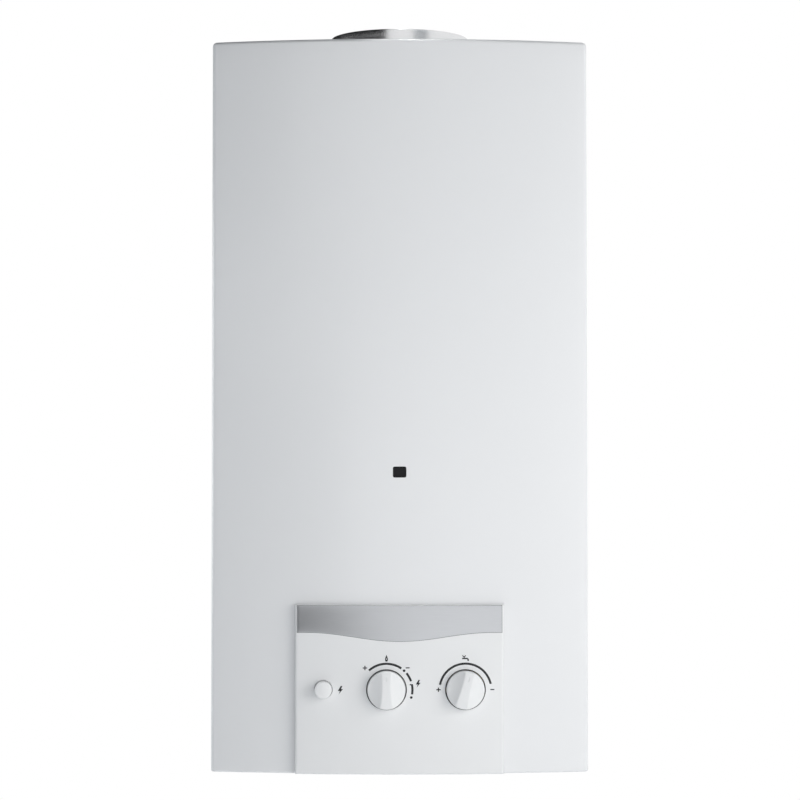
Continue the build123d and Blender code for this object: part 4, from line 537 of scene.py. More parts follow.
def stacked_slab(middle, half_width, half_height, back_depth, front_depth, rounding):
    """A slab that faces the front: its rounded outline, shrunk by a quarter circle at both faces."""
    around = full_turn(ROUND_STEPS)
    inward, rise_left = quarter(rounding, 5)
    shrink = np.concatenate([rise_left, inward])[:, None]
    rings = window_radius(half_width - shrink, half_height - shrink)(around)
    radius = np.concatenate([0 * around, rings, 0 * around])
    rise = np.append(0.0, inward)
    depth = np.concatenate([back_depth + rise, front_depth - rise[::-1]])[:, None]
    x, z = middle[0] + radius * np.cos(around), middle[1] + radius * np.sin(around)
    return sheet_of(x, -depth, z, wrap=True)


pane_half = [half + PANE_MARGIN for half in SIGHT_HALF]
pane_front = float(bow_depth(pane_half[0], -SHEET)) - PANE_GAP
pane_slab = stacked_slab((0.0, SIGHT_Z), *pane_half, pane_front - PANE_THICKNESS, pane_front, PANE_ROUND)
dark_glass = finish(
    "dark_glass", fine_grain, (0.012, 0.012, 0.014), (0.02, 0.019, 0.018), bump_mm=0.01,
    Grain_Scale=90.0, Roughness=0.12, Roughness_Spread=0.1, Specular_IOR_Level=0.12,
)
pane = mesh_object("dark_sight_pane", [pane_slab], crease_deg=35)
dress(pane, dark_glass, "casing", ["sight_glass"])

# %% [markdown]
# The control fascia is a shallow plastic moulding that follows the bow and stands proud of it. Its face is a
# sheet of grid lines; near the border the sheet drops in a quarter circle and then runs straight back to the
# casing. Three wells for the button and the knobs are ring patches that turn inwards and become sleeves.

# %% Fascia: the face and its border
FASCIA_PROUD = 7.0
FASCIA_ROUND = 2.0
FACE_STEP = 4.0
CONTROL_Z = FLOOR_Z + 77.5
BUTTON_X, GAS_X, WATER_X = -70.0, -12.0, 60.5
KNOB_RADIUS, KNOB_GAP = 17.5, 1.0
BUTTON_RADIUS, BUTTON_GAP = 8.0, 0.4
WELL_HALF, WELL_LINES = 22.0, 21
knob_edge = KNOB_RADIUS + KNOB_GAP
well_edges = {BUTTON_X: BUTTON_RADIUS + BUTTON_GAP, GAS_X: knob_edge, WATER_X: knob_edge}


def well_lines(middle):
    """Grid lines across the square round a well."""
    return np.linspace(middle - WELL_HALF, middle + WELL_HALF, WELL_LINES)


def bordered(low, high, middles):
    """Grid lines across the face, finest round the wells, and how far the face has dropped at each."""
    stops = [low + 2 * FASCIA_ROUND]
    for middle in middles:
        stops += [middle - WELL_HALF, middle + WELL_HALF]
    stops.append(high - 2 * FASCIA_ROUND)
    gaps = [steps(*ends, FACE_STEP) for ends in zip(stops[::2], stops[1::2])]
    lines = joined(*gaps, *[well_lines(middle) for middle in middles])
    inward, drop = quarter(FASCIA_ROUND, 6)
    places = np.concatenate([[low], low + inward, lines, high - inward[::-1], [high]])
    drops = np.concatenate([[FASCIA_PROUD], drop, 0 * lines, drop[::-1], [FASCIA_PROUD]])
    return places, drops


face_x, drop_x = bordered(-FASCIA_HALF, FASCIA_HALF, well_edges)
face_z, drop_z = bordered(FLOOR_Z, FASCIA_TOP, [CONTROL_Z])
grid_x, grid_z = np.meshgrid(face_x, face_z)
grid_drop = np.maximum(drop_x[None, :], drop_z[:, None])
level_with_well = abs(cell_middles(grid_z) - CONTROL_Z) < WELL_HALF
in_well = np.zeros(level_with_well.shape, bool)
for well_x in well_edges:
    in_well |= level_with_well & (abs(cell_middles(grid_x) - well_x) < WELL_HALF)
face = sheet_of(grid_x, -bow_depth(grid_x, FASCIA_PROUD - grid_drop), grid_z, keep=~in_well)
print("fascia grid", grid_x.shape)

# %% Fascia: wells and object
FASCIA_WALL = 2.2
WELL_ROUND = 0.5
WELL_SHARES = (0.0, 0.35, 0.65, 0.85, 0.95, 1.0)
SLEEVE_DEPTH = 214.0


def well(well_x, edge):
    """A ring patch on the face, a quarter circle over the edge, and a sleeve that runs straight back."""
    mouth = edge + WELL_ROUND
    squares = well_lines(well_x), well_lines(CONTROL_Z)
    flat_x, flat_z = ring_patch((well_x, CONTROL_Z), *squares, lambda angle: mouth + 0 * angle, WELL_SHARES)
    down, left = (way[1:, None] for way in quarter(WELL_ROUND, 6))
    share = (edge + left) / mouth
    round_x = well_x + (flat_x[-1] - well_x) * share
    round_z = CONTROL_Z + (flat_z[-1] - CONTROL_Z) * share
    round_depth = bow_depth(round_x, FASCIA_PROUD) - down
    back = np.linspace(0, 1, 5)[1:, None]
    sleeve_depth = round_depth[-1] * (1 - back) + SLEEVE_DEPTH * back
    x = np.concatenate([flat_x, round_x, round_x[-1:] + 0 * back])
    z = np.concatenate([flat_z, round_z, round_z[-1:] + 0 * back])
    depth = np.concatenate([bow_depth(flat_x, FASCIA_PROUD), round_depth, sleeve_depth])
    return sheet_of(x, -depth, z, wrap=True)


fascia_plastic = finish(
    "fascia_plastic", fine_grain, (0.80, 0.805, 0.81), (0.78, 0.785, 0.795), bump_mm=0.01,
    Grain_Scale=1900.0, Cloud_Scale=12.0, Cloud_Share=0.4, Roughness=0.42, Roughness_Spread=0.08,
)
wells = [well(well_x, edge) for well_x, edge in well_edges.items()]
fascia = mesh_object("moulded_fascia", [face, *wells], crease_deg=40, towards=FRONT)
dress(thicken(fascia, FASCIA_WALL), fascia_plastic, "casing", ["control_fascia"])

# %% [markdown]
# The knobs stand in their wells with a gap of a millimetre. The gap's shade is painted: a near-black sleeve lines
# # each well, so the gap shows as one even dark ring, and a thin near-black rim of it lies on the face round the
# knob.
# # The sleeve is a closed loop of four edges carried once round the well: its front edge follows the bow level
# with
# # the face and its outer wall is sunk in the moulding.

# %% Well sleeves: painted gap shade
LINER_WALL = 0.35
LINER_SUNK = 0.15
LINER_PROUD = 0.04


# Painted shade: the ring is near-black so that the gap round each knob reads as shaded.
def well_shade_ring(well_x, edge):
    """A ring of rectangular section: radius and depth go round the section, angle goes round the well."""
    around = full_turn(ROUND_STEPS)
    radius = edge + np.array([LINER_SUNK, -LINER_WALL, -LINER_WALL, LINER_SUNK, LINER_SUNK])[:, None]
    share = np.array([1.0, 1.0, 0.0, 0.0, 1.0])[:, None]
    x = well_x + radius * np.cos(around)
    z = CONTROL_Z + radius * np.sin(around)
    front = bow_depth(x, FASCIA_PROUD + LINER_PROUD)
    return sheet_of(x, -(SLEEVE_DEPTH + (front - SLEEVE_DEPTH) * share), z, wrap=True)


# Painted shade: near-black plastic where the well shows only shade.
painted_gap_shade = finish(
    "painted_gap_shade", fine_grain, (0.03, 0.03, 0.033), (0.05, 0.05, 0.055), bump_mm=0.01,
    Grain_Scale=1800.0, Roughness=0.6,
)
rings = [well_shade_ring(knob_x, knob_edge) for knob_x in (GAS_X, WATER_X)]
gap_shade_sleeves = mesh_object("well_gap_shade_rings", rings, crease_deg=40)
dress(gap_shade_sleeves, painted_gap_shade, "casing")

# %% [markdown]
# A silver strip crosses the top of the fascia. Its lower edge swells downwards in the middle like a slow
# # wave, which a raised cosine draws exactly. The strip lies in a fine groove whose shade is painted: a second,
# # slightly larger strip in dark grey sits behind it and shows as the thin joint line.

# %% Trim strip: the surface
TRIM_HALF = 94.2
TRIM_TOP = FASCIA_TOP - 1.2
TRIM_SIDE_Z = FASCIA_TOP - 25.7
TRIM_DROP = 8.0
TRIM_WAVE_HALF = 84.0
TRIM_STEP = 2.5


def wave_edge(x):
    """Lower edge of the strip: a raised cosine that hangs from a level line."""
    inside = np.clip(np.abs(x) / TRIM_WAVE_HALF, 0, 1)
    return TRIM_SIDE_Z - TRIM_DROP * 0.5 * (1 + np.cos(np.pi * inside))


def strip(stand_off, grow, edge, foot):
    """A strip on the fascia, with a quarter circle at each border and a foot that reaches into it."""
    inward, drop = quarter(edge, 5)
    inward, drop = np.append(0.0, inward), np.append(foot, drop)
    half = TRIM_HALF + grow
    inner = steps(-half, half, TRIM_STEP)[1:-1]
    across = np.concatenate([inward - half, inner, half - inward[::-1]])
    drop_across = np.concatenate([drop, 0 * inner, drop[::-1]])
    down = np.concatenate([inward, [0.0, 0.0], -inward[::-1]])
    from_top = np.concatenate([0 * drop, [0.33, 0.66], 0 * drop + 1])
    drop_down = np.concatenate([drop, [0.0, 0.0], drop[::-1]])
    top, low = TRIM_TOP + grow, wave_edge(across) - grow
    z = top + (low - top) * from_top[:, None] - down[:, None]
    fall = np.maximum(drop_across, drop_down[:, None])
    return sheet_of(across, -bow_depth(across, FASCIA_PROUD + stand_off - fall), z)


# %% Trim strip and the painted shade of its joint
TRIM_PROUD, TRIM_EDGE, TRIM_FOOT, TRIM_SHEET = 0.3, 0.3, 0.9, 0.4
JOINT_PROUD, JOINT_EDGE, JOINT_FOOT, JOINT_SHEET = 0.03, 0.02, 0.4, 0.3
JOINT_WIDTH = 0.35
silver_lacquer = finish(
    "silver_lacquer", draw_lines, (0.63, 0.645, 0.67), (0.56, 0.575, 0.60), bump_mm=0.004,
    Stretch=(0.02, 1.0, 1.0), Scale=900.0, Roughness=0.34, Roughness_Spread=0.10, Metallic=0.9,
)
# Painted shade: dark grey for the shade in the groove round the trim.
joint_shadow = finish("joint_shadow", fine_grain, (0.16, 0.165, 0.175), (0.10, 0.10, 0.11), Roughness=0.6)
trim_face = strip(TRIM_PROUD, 0.0, TRIM_EDGE, TRIM_FOOT)
trim = mesh_object("silver_trim", [trim_face], crease_deg=50, towards=FRONT)
dress(thicken(trim, TRIM_SHEET), silver_lacquer, "casing", ["trim_strip"])
joint_shade_face = strip(JOINT_PROUD, JOINT_WIDTH, JOINT_EDGE, JOINT_FOOT)
joint_shade_strip = mesh_object("trim_joint_painted_shade", [joint_shade_face], crease_deg=50, towards=FRONT)
dress(thicken(joint_shade_strip, JOINT_SHEET), joint_shadow, "casing")

# %% [markdown]
# Each knob is a disc with a raised grip bar that is slimmest in the middle. The face is a height over the
# disc: rows of points run across it, and in every row the same columns sit on the bar's two edges, so the
# creases are clean. A ring then rolls over the rim and down the skirt. A shallow notch marks the pointer.

# %% Knobs: the height of the face
KNOB_HEIGHT = 16.0
KNOB_RIM = 2.0
FLANK_DROP, FLANK_HOLLOW = 8.0, 6.4
GRIP_WAIST, GRIP_FLARE, GRIP_TAPER = 4.2, 1.2, 0.04
CREASE_ROUND = 1.0
END_START, END_DROP = 6.0, 1.4
face_radius = KNOB_RADIUS - KNOB_RIM


def grip_half(y):
    """Half width of the bar: a waist that flares with the square of the way out and tapers to the pointer."""
    return GRIP_WAIST + GRIP_FLARE * (y / KNOB_RADIUS) ** 2 - GRIP_TAPER * y


def knob_drop(x, grip):
    """Fall of the face below the bar: none on it, a rounded crease, then a hollow flank down to the rim."""
    beyond = np.abs(x) - grip
    share = np.clip(beyond / (KNOB_RADIUS - grip), 0, 1)
    flank = FLANK_DROP * share + FLANK_HOLLOW * share * (1 - share)
    slope = (FLANK_DROP + FLANK_HOLLOW) / (KNOB_RADIUS - grip)
    crease = slope * (np.clip(beyond, -CREASE_ROUND, None) + CREASE_ROUND) ** 2 / (4 * CREASE_ROUND)
    return np.where(beyond < CREASE_ROUND, crease, flank)


def end_drop(y):
    """Fall of the bar towards its ends: none in the middle, then growing with the square of the way out."""
    return END_DROP * (np.clip(np.abs(y) - END_START, 0, None) / (face_radius - END_START)) ** 2


def knob_face(x, y):
    """Height of the face over the disc: the bar's top, less the falls beside it and towards its ends."""
    return KNOB_HEIGHT - knob_drop(x, grip_half(y)) - end_drop(y)


print("grip bar", 2 * GRIP_WAIST, "mm wide at its waist,", KNOB_HEIGHT, "mm above the fascia")


# %% Knobs: face, rim and skirt
KNOB_SKIRT, SKIRT_TOP, SKIRT_LIP = 4.0, 2.0, 2.0
NOTCH_ROWS, NOTCH_DEPTH = (8.5, 12.0), 0.5
NOTCH_SHARE, NOTCH_SLOPE_SHARE, NOTCH_SLOPE = 0.13, 0.04, 0.25
BAR_SHARE, POLE_BAR_SHARE, POLE_CREASE_SHARE = 0.6, 0.8, 0.1
SLACK = 1e-6
notch_lines = np.array([NOTCH_ROWS[0] - NOTCH_SLOPE, *NOTCH_ROWS, NOTCH_ROWS[1] + NOTCH_SLOPE])
knob_turns = joined(np.linspace(-np.pi / 2, np.pi / 2, 73), np.arcsin(notch_lines / face_radius))
right_bar = np.array([NOTCH_SHARE, NOTCH_SHARE + NOTCH_SLOPE_SHARE, BAR_SHARE])
bar_shares = np.concatenate([-right_bar[::-1], right_bar])
crease_shares = np.array([-1.0, -0.5, 0.0, 0.5, 1.0])
flank_shares = np.linspace(0, 1, 12)[1:]


def knob_surfaces(middle_x, turn):
    """Face, rim and skirt of a knob whose pointer is turned clockwise from upright."""
    y = face_radius * np.sin(knob_turns)[:, None]
    reach = face_radius * np.cos(knob_turns)[:, None]
    grip = np.minimum(grip_half(y), POLE_BAR_SHARE * reach)
    soft = np.minimum(CREASE_ROUND, POLE_CREASE_SHARE * reach)
    flank_x = grip + soft + (reach - grip - soft) * flank_shares
    right = np.concatenate([grip + soft * crease_shares, flank_x], axis=1)
    x = np.concatenate([-right[:, ::-1], grip * bar_shares, right], axis=1)
    in_rows = (y >= NOTCH_ROWS[0] - SLACK) & (y <= NOTCH_ROWS[1] + SLACK)
    in_notch = in_rows & (abs(x) <= NOTCH_SHARE * grip + SLACK)
    height = knob_face(x, y) - NOTCH_DEPTH * in_notch
    around = np.concatenate([knob_turns[:-1], np.pi - knob_turns[:0:-1]])
    rim_turn = np.linspace(0, np.pi / 2, 6)[:, None]
    rim_height = knob_face(face_radius * np.cos(around), face_radius * np.sin(around))
    skirt_radius = np.array([KNOB_RADIUS, KNOB_RADIUS, KNOB_RADIUS - SKIRT_LIP, 0.0])[:, None]
    skirt_height = np.array([SKIRT_TOP, -KNOB_SKIRT, -KNOB_SKIRT, -KNOB_SKIRT])[:, None]
    ring_radius = np.concatenate([face_radius + KNOB_RIM * np.sin(rim_turn), skirt_radius])
    ring_height = np.concatenate([rim_height - KNOB_RIM * (1 - np.cos(rim_turn)), skirt_height + 0 * around])

    def placed(local_x, local_y, local_height, wrap):
        """Places about the knob's axis, turned with the knob and set on the bowed face."""
        base = float(bow_depth(middle_x, FASCIA_PROUD))
        world_x = middle_x + local_x * math.cos(turn) + local_y * math.sin(turn)
        world_z = CONTROL_Z - local_x * math.sin(turn) + local_y * math.cos(turn)
        return sheet_of(world_x, -base - local_height, world_z, wrap)

    ring = placed(ring_radius * np.cos(around), ring_radius * np.sin(around), ring_height, True)
    return [placed(x, y, height, False), ring]


# %% Knobs: finish and objects
WATER_TURN = math.radians(15.0)
knob_plastic = finish(
    "knob_plastic", fine_grain, (0.80, 0.805, 0.81), (0.76, 0.77, 0.78), bump_mm=0.006,
    Grain_Scale=2400.0, Cloud_Scale=40.0, Cloud_Share=0.4, Roughness=0.30, Roughness_Spread=0.08,
    Coat_Weight=0.15, Coat_Roughness=0.2,
)
for use, knob_x, knob_turn in (("gas", GAS_X, 0.0), ("water", WATER_X, WATER_TURN)):
    knob = mesh_object(f"{use}_control_knob", knob_surfaces(knob_x, knob_turn), crease_deg=38)
    dress(knob, knob_plastic, f"{use}_control", [f"{use}_knob"])

# %% [markdown]
# Round pieces are turned on a lathe, and so are their meshes: a profile of radius against distance is carried
# once round an axis. The igniter button is such a piece, with a softly domed cap, and so is the flue collar.

# %% Lathe
def lathe(profile, place):
    """A profile of (radius, along) pairs carried once round; place turns these and the angle into x, y, z."""
    radius, along = (column[:, None] for column in np.asarray(profile, float).T)
    return sheet_of(*place(radius, full_turn(ROUND_STEPS), along), wrap=True)


def arc(middle, radius, start_deg, end_deg, count=7):
    """Points of a circular arc in a profile, as (radius, along) pairs."""
    turn = np.radians(np.linspace(start_deg, end_deg, count))
    return [(middle[0] + radius * math.cos(t), middle[1] + radius * math.sin(t)) for t in turn]


# %% Button
BUTTON_PROUD = 12.0
BUTTON_LENGTH = 40.0
BUTTON_ROUND = 2.0
BUTTON_CROWN = 0.9
button_back = float(bow_depth(BUTTON_X, FASCIA_PROUD)) + BUTTON_PROUD - BUTTON_LENGTH
shoulder_radius = BUTTON_RADIUS - BUTTON_ROUND
crown_radius = np.linspace(0, shoulder_radius, 8)
crown = [(r, BUTTON_LENGTH - BUTTON_CROWN * (r / BUTTON_RADIUS) ** 2) for r in crown_radius]
button_profile = crown + arc((shoulder_radius, crown[-1][1] - BUTTON_ROUND), BUTTON_ROUND, 80, 0)
button_profile += [(BUTTON_RADIUS, BUTTON_LENGTH / 2), (BUTTON_RADIUS, 0.0), (0.0, 0.0)]


def button_place(radius, around, along):
    """Turned about the button's own axis, which points at the room."""
    return BUTTON_X + radius * np.cos(around), -button_back - along, CONTROL_Z + radius * np.sin(around)


button = mesh_object("igniter_button_cap", [lathe(button_profile, button_place)], crease_deg=40)
dress(button, knob_plastic, "igniter_button", ["piezo_button"])

# %% [markdown]
# The printed marks stand less than a tenth of a millimetre off the face. Arcs are bands between two radii;
# signs are small bars; the flame is a pointed drop with a hollow middle; the spark is two slanted blades.
# Every mark is drawn flat in millimetres about its control and then laid on the bowed face.

# %% Printed marks: arcs, dots and bars
SCALE_RADIUS = 23.8
SCALE_LINE = 2.0
SIGN_SIZE, SIGN_LINE = 4.0, 1.0


def band(start_deg, end_deg):
    """An arc of the scale between two angles clockwise from the top."""
    turn = np.radians(steps(start_deg, end_deg, 2.0))
    across = (SCALE_RADIUS + SCALE_LINE * np.linspace(-0.5, 0.5, 3))[:, None]
    return across * np.sin(turn), across * np.cos(turn), False


def dot(at_deg, size):
    """A round dot on the scale at an angle clockwise from the top."""
    around, turn = full_turn(24), math.radians(at_deg)
    grow = np.linspace(0, size / 2, 4)[:, None]
    x = SCALE_RADIUS * math.sin(turn) + grow * np.cos(around)
    return x, SCALE_RADIUS * math.cos(turn) + grow * np.sin(around), True


def bar(x, y, width, height, tilt_deg=0.0):
    """A small rectangle about a middle, tilted clockwise."""
    across = np.linspace(-0.5, 0.5, 5) * width
    up = np.linspace(-0.5, 0.5, 3)[:, None] * height
    cosine, sine = math.cos(math.radians(tilt_deg)), math.sin(math.radians(tilt_deg))
    return x + across * cosine + up * sine, y - across * sine + up * cosine, False


def plus(x, y):
    """Two bars crossed."""
    return [bar(x, y, SIGN_SIZE, SIGN_LINE), bar(x, y, SIGN_LINE, SIGN_SIZE)]


# %% Printed marks: flame, spark and tap
FLAME_OUTER, FLAME_INNER = (1.9375, 3.2), (0.5625, 1.1)
FLAME_SINK = 0.6
SPARK_UPPER = np.array([[(0.3, 3.3), (1.7, 3.3)], [(-0.9, 1.2), (0.5, 0.8)], [(-2.0, -0.7), (-0.3, -0.7)]])
SPARK_LOWER = np.array([[(0.5, 0.8), (2.1, 0.8)], [(-0.3, -0.7), (-1.3, -3.4)]])
SPOUT_RADII = np.array([0.8, 2.1])[:, None]


def drop_outline(x, y, half_width, half_height):
    """A drop with its point up: the width follows a sine that is pressed flat near the point."""
    turn = full_turn(48)
    return x + half_width * np.sin(turn) * np.sin(turn / 2) ** 1.6, y + half_height * np.cos(turn)


def flame(x, y):
    """A flame: the ring between a drop and a smaller drop inside it."""
    outer, inner = drop_outline(x, y, *FLAME_OUTER), drop_outline(x, y - FLAME_SINK, *FLAME_INNER)
    return [(np.concatenate([outer[0], inner[0]]), np.concatenate([outer[1], inner[1]]), True)]


def spark(x, y, size):
    """A spark: two slanted blades that meet in the middle, each a grid of two columns."""
    blades = (SPARK_UPPER * size, SPARK_LOWER * size)
    return [(x + blade[..., 0], y + blade[..., 1], False) for blade in blades]


def tap(x, y):
    """A tap: bars for a forked handle, a pipe and a mouth, and a quarter of a ring for the spout."""
    turn = np.radians(np.linspace(0, 90, 10))
    spout = (x + 1.1 + SPOUT_RADII * np.sin(turn), y - 2.1 + SPOUT_RADII * np.cos(turn), False)
    fork = [bar(x - 1.25 + side * 0.7, y + 1.25, 2.5, 0.9, -side * 50.0) for side in (-1, 1)]
    return fork + [bar(x - 0.9, y - 0.65, 4.2, 1.3), spout, bar(x + 2.55, y - 2.5, 1.3, 0.9)]


# %% Printed marks on the fascia
INK = 0.08
DOT = 2.4
black_ink = finish(
    "black_ink", fine_grain, (0.018, 0.019, 0.021), (0.03, 0.03, 0.032), Grain_Scale=3000.0, Roughness=0.5
)


def printed(name, middle_x, marks):
    """Lays flat marks on the fascia's bow about a control and gives the ink its thickness."""
    surfaces = []
    for mark_x, mark_y, wrap in marks:
        x, z = middle_x + mark_x, CONTROL_Z + mark_y
        surfaces.append(sheet_of(x, -bow_depth(x, FASCIA_PROUD + INK), z, wrap))
    made = mesh_object(name, surfaces, crease_deg=60, towards=FRONT)
    return dress(thicken(made, 2 * INK), black_ink, "casing")


gas_marks = [band(-42.4, 34.8), dot(42.8, DOT), band(50.3, 70.8), band(77.8, 100.1), dot(107.2, DOT)]
gas_marks += [bar(22.4, 4.7, 2.1, 1.1, 8.0), *plus(-19.8, 19.9), bar(19.4, 20.1, 3.5, SIGN_LINE)]
gas_marks += flame(0.0, 29.0) + spark(29.0, 5.6, 1.05)
water_marks = [band(-79.0, 77.5), *plus(-24.8, 0.0), bar(24.8, 0.0, 3.7, SIGN_LINE), *tap(0.0, 29.2)]
printed("gas_scale_print", GAS_X, gas_marks)
printed("water_scale_print", WATER_X, water_marks)
printed("igniter_spark_print", BUTTON_X, spark(15.6, -0.4, 1.15))

# %% [markdown]
# The flue collar is a short tube of bright rolled sheet with a flange at its foot and a beaded rim.
# Rolled sheet is drawn along its length before it is bent, so fine lines run round it.

# %% Flue collar
FLUE_DEPTH = 98.0
FLUE_RADIUS = 65.5
FLUE_WALL = 1.0
FLANGE_RADIUS = 71.9
FOOT_ROUND, FOOT_RISE = 2.0, 8.0
BEAD, BEAD_RISE, BEAD_FLAT = 0.25, 9.0, 2.0
RIM_ROUND = 0.6
MOUTH = ((0.3, 0.1), (0.0, 0.5))
BORE_START = 4.0
HOOD_TOP = float(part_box("flue_collar")[0].z) / MM
FLUE_TOP = float(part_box("flue_collar")[1].z) / MM
outer_wall = FLUE_RADIUS + FLUE_WALL
flange_top = HOOD_TOP + FLUE_WALL
bead_start = FLUE_TOP - BEAD_RISE
collar_profile = [(FLUE_RADIUS, HOOD_TOP), (FLANGE_RADIUS, HOOD_TOP), (FLANGE_RADIUS, flange_top)]
collar_profile += arc((outer_wall + FOOT_ROUND, flange_top + FOOT_ROUND), FOOT_ROUND, 270, 180)
collar_profile += [(outer_wall, z) for z in np.linspace(HOOD_TOP + FOOT_RISE, bead_start, 8)]
for share in np.linspace(0, 1, 9)[1:]:
    swell = BEAD * (1 - math.cos(math.pi * share)) / 2
    collar_profile.append((outer_wall + swell, bead_start + (BEAD_RISE - BEAD_FLAT) * share))
collar_profile += arc((outer_wall + BEAD - RIM_ROUND, FLUE_TOP - RIM_ROUND), RIM_ROUND, 0, 90)
collar_profile += [(FLUE_RADIUS + wider, FLUE_TOP - below) for wider, below in MOUTH]
collar_profile += [(FLUE_RADIUS, z) for z in np.linspace(FLUE_TOP - BORE_START, HOOD_TOP, 8)]


def collar_place(radius, around, along):
    """Turned about the upright axis of the flue."""
    return radius * np.cos(around), -FLUE_DEPTH + radius * np.sin(around), along


bright_sheet = finish(
    "bright_rolled_sheet", draw_lines, (0.80, 0.805, 0.815), (0.68, 0.69, 0.70), bump_mm=0.002,
    Stretch=(0.06, 0.06, 1.0), Scale=1400.0, Roughness=0.24, Roughness_Spread=0.04, Metallic=1.0,
)
collar = mesh_object("rolled_flue_collar", [lathe(collar_profile, collar_place)], crease_deg=40)
dress(collar, bright_sheet, "chassis", ["flue_collar"])

# %% [markdown]
# Behind the casing most pieces are sheet, copper and brass. Galvanised sheet shows crystals, copper shows the
# lines of drawing, and whatever stands near the flame is stained: straw first, then violet. Stains are laid
# on by height, because the burner is at one height, so no piece needs painting by hand.

# %% Finishes of sheet and copper
galvanised = finish("galvanised_sheet", spangle, bump_mm=0.01, Metallic=0.9)
hot_galvanised = finish(
    "heated_galvanised_sheet", spangle, bump_mm=0.01, Roughness=0.46, Metallic=0.85,
    tint={"Straw": rgba(0.46, 0.42, 0.34), "Violet": rgba(0.28, 0.25, 0.24), "Share": 0.7},
)
COPPER, COPPER_SHADE = (0.74, 0.40, 0.26), (0.52, 0.25, 0.15)
drawn_tube = {"Scale": 420.0, "Stretch": (1.0, 1.0, 0.15), "Roughness_Spread": 0.22, "Metallic": 1.0}
copper = finish("drawn_copper", draw_lines, COPPER, COPPER_SHADE, bump_mm=0.01, Roughness=0.32, **drawn_tube)
hot_copper = finish(
    "heated_copper", draw_lines, COPPER, COPPER_SHADE, bump_mm=0.012, Roughness=0.42, **drawn_tube,
    tint={"Cool Height": 0.13, "Hot Height": -0.10, "Share": 0.75},
)
tinned_copper = finish(
    "tinned_copper", draw_lines, (0.66, 0.52, 0.44), (0.5, 0.36, 0.28), bump_mm=0.008,
    Roughness=0.32, **drawn_tube,
)
burner_heat = {"Straw": rgba(0.44, 0.33, 0.18), "Violet": rgba(0.20, 0.18, 0.26), "Share": 0.9}
burner_heat |= {"Cool Height": -0.15, "Hot Height": -0.085}
burner_steel = finish(
    "heated_burner_steel", draw_lines, (0.52, 0.51, 0.50), (0.38, 0.37, 0.36), bump_mm=0.006,
    Stretch=(1.0, 0.05, 1.0), Scale=800.0, Roughness=0.38, Metallic=1.0, tint=burner_heat,
)
print("finishes so far", len(bpy.data.materials))

# %% [markdown]
# Turned brass has fine rings and forged brass a coarse skin, so they take different groups though the metal
# is the same. Cast aluminium is rougher still. Screws and springs are smooth plated or drawn steel.

# %% Finishes of brass, castings and steel
brass = finish(
    "turned_brass", draw_lines, (0.80, 0.62, 0.32), (0.62, 0.45, 0.20), bump_mm=0.008,
    Scale=900.0, Stretch=(1.0, 0.05, 1.0), Roughness=0.30, Roughness_Spread=0.2, Metallic=1.0,
)
forged_brass = finish(
    "forged_brass", fine_grain, (0.74, 0.56, 0.29), (0.55, 0.39, 0.18), bump_mm=0.05, Grain_Scale=700.0,
    Cloud_Scale=45.0, Cloud_Share=0.8, Roughness=0.44, Roughness_Spread=0.2, Metallic=1.0,
)
cast_aluminium = finish(
    "cast_aluminium", fine_grain, (0.62, 0.63, 0.64), (0.48, 0.49, 0.50), bump_mm=0.06, Grain_Scale=900.0,
    Cloud_Scale=50.0, Cloud_Share=0.8, Roughness=0.50, Roughness_Spread=0.18, Metallic=1.0,
)
zinc_steel = finish(
    "zinc_plated_steel", draw_lines, (0.70, 0.69, 0.62), (0.55, 0.53, 0.45), bump_mm=0.004,
    Scale=1200.0, Stretch=(1.0, 1.0, 0.1), Roughness=0.3, Metallic=1.0,
)
spring_steel = finish(
    "spring_steel", draw_lines, (0.48, 0.48, 0.49), (0.30, 0.30, 0.32), bump_mm=0.002,
    Scale=2500.0, Roughness=0.35, Metallic=1.0,
)
print("finishes so far", len(bpy.data.materials))

# %% [markdown]
# A few small pieces are no metal at all: rubber discs, the igniter's moulded body, the electrode's glazed
# ceramic, the silicone sleeve of its lead, and the mica in the peep hole that lets some light through.

# %% Finishes of rubber, plastic, ceramic and mica
black_rubber = finish(
    "black_rubber", fine_grain, (0.02, 0.02, 0.02), (0.04, 0.04, 0.04), bump_mm=0.03,
    Grain_Scale=1500.0, Roughness=0.75,
)
black_moulding = finish(
    "black_moulding", fine_grain, (0.025, 0.025, 0.028), (0.045, 0.045, 0.05), bump_mm=0.02,
    Grain_Scale=1800.0, Roughness=0.5,
)
glazed_ceramic = finish(
    "glazed_ceramic", fine_grain, (0.84, 0.82, 0.77), (0.70, 0.66, 0.58), bump_mm=0.01,
    Cloud_Scale=70.0, Roughness=0.22,
)
silicone_sleeve = finish(
    "silicone_sleeve", fine_grain, (0.66, 0.62, 0.56), (0.50, 0.47, 0.42), bump_mm=0.02,
    Cloud_Scale=60.0, Roughness=0.6,
)
mica_sheet = finish(
    "mica_sheet", spangle, (0.60, 0.50, 0.32), (0.42, 0.32, 0.18), bump_mm=0.02,
    Scale=260.0, Roughness=0.16, Transmission_Weight=0.55, IOR=1.56,
)
print("finishes so far", len(bpy.data.materials))

# %% [markdown]
# Everything behind the casing keeps the shape it was designed with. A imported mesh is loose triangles, though,
# and shades as flat facets. So each inner piece is a welded copy: equal points are found with one numpy call,
# the faces are renumbered, and smooth shading then follows the true curves. Only the finishes are new.

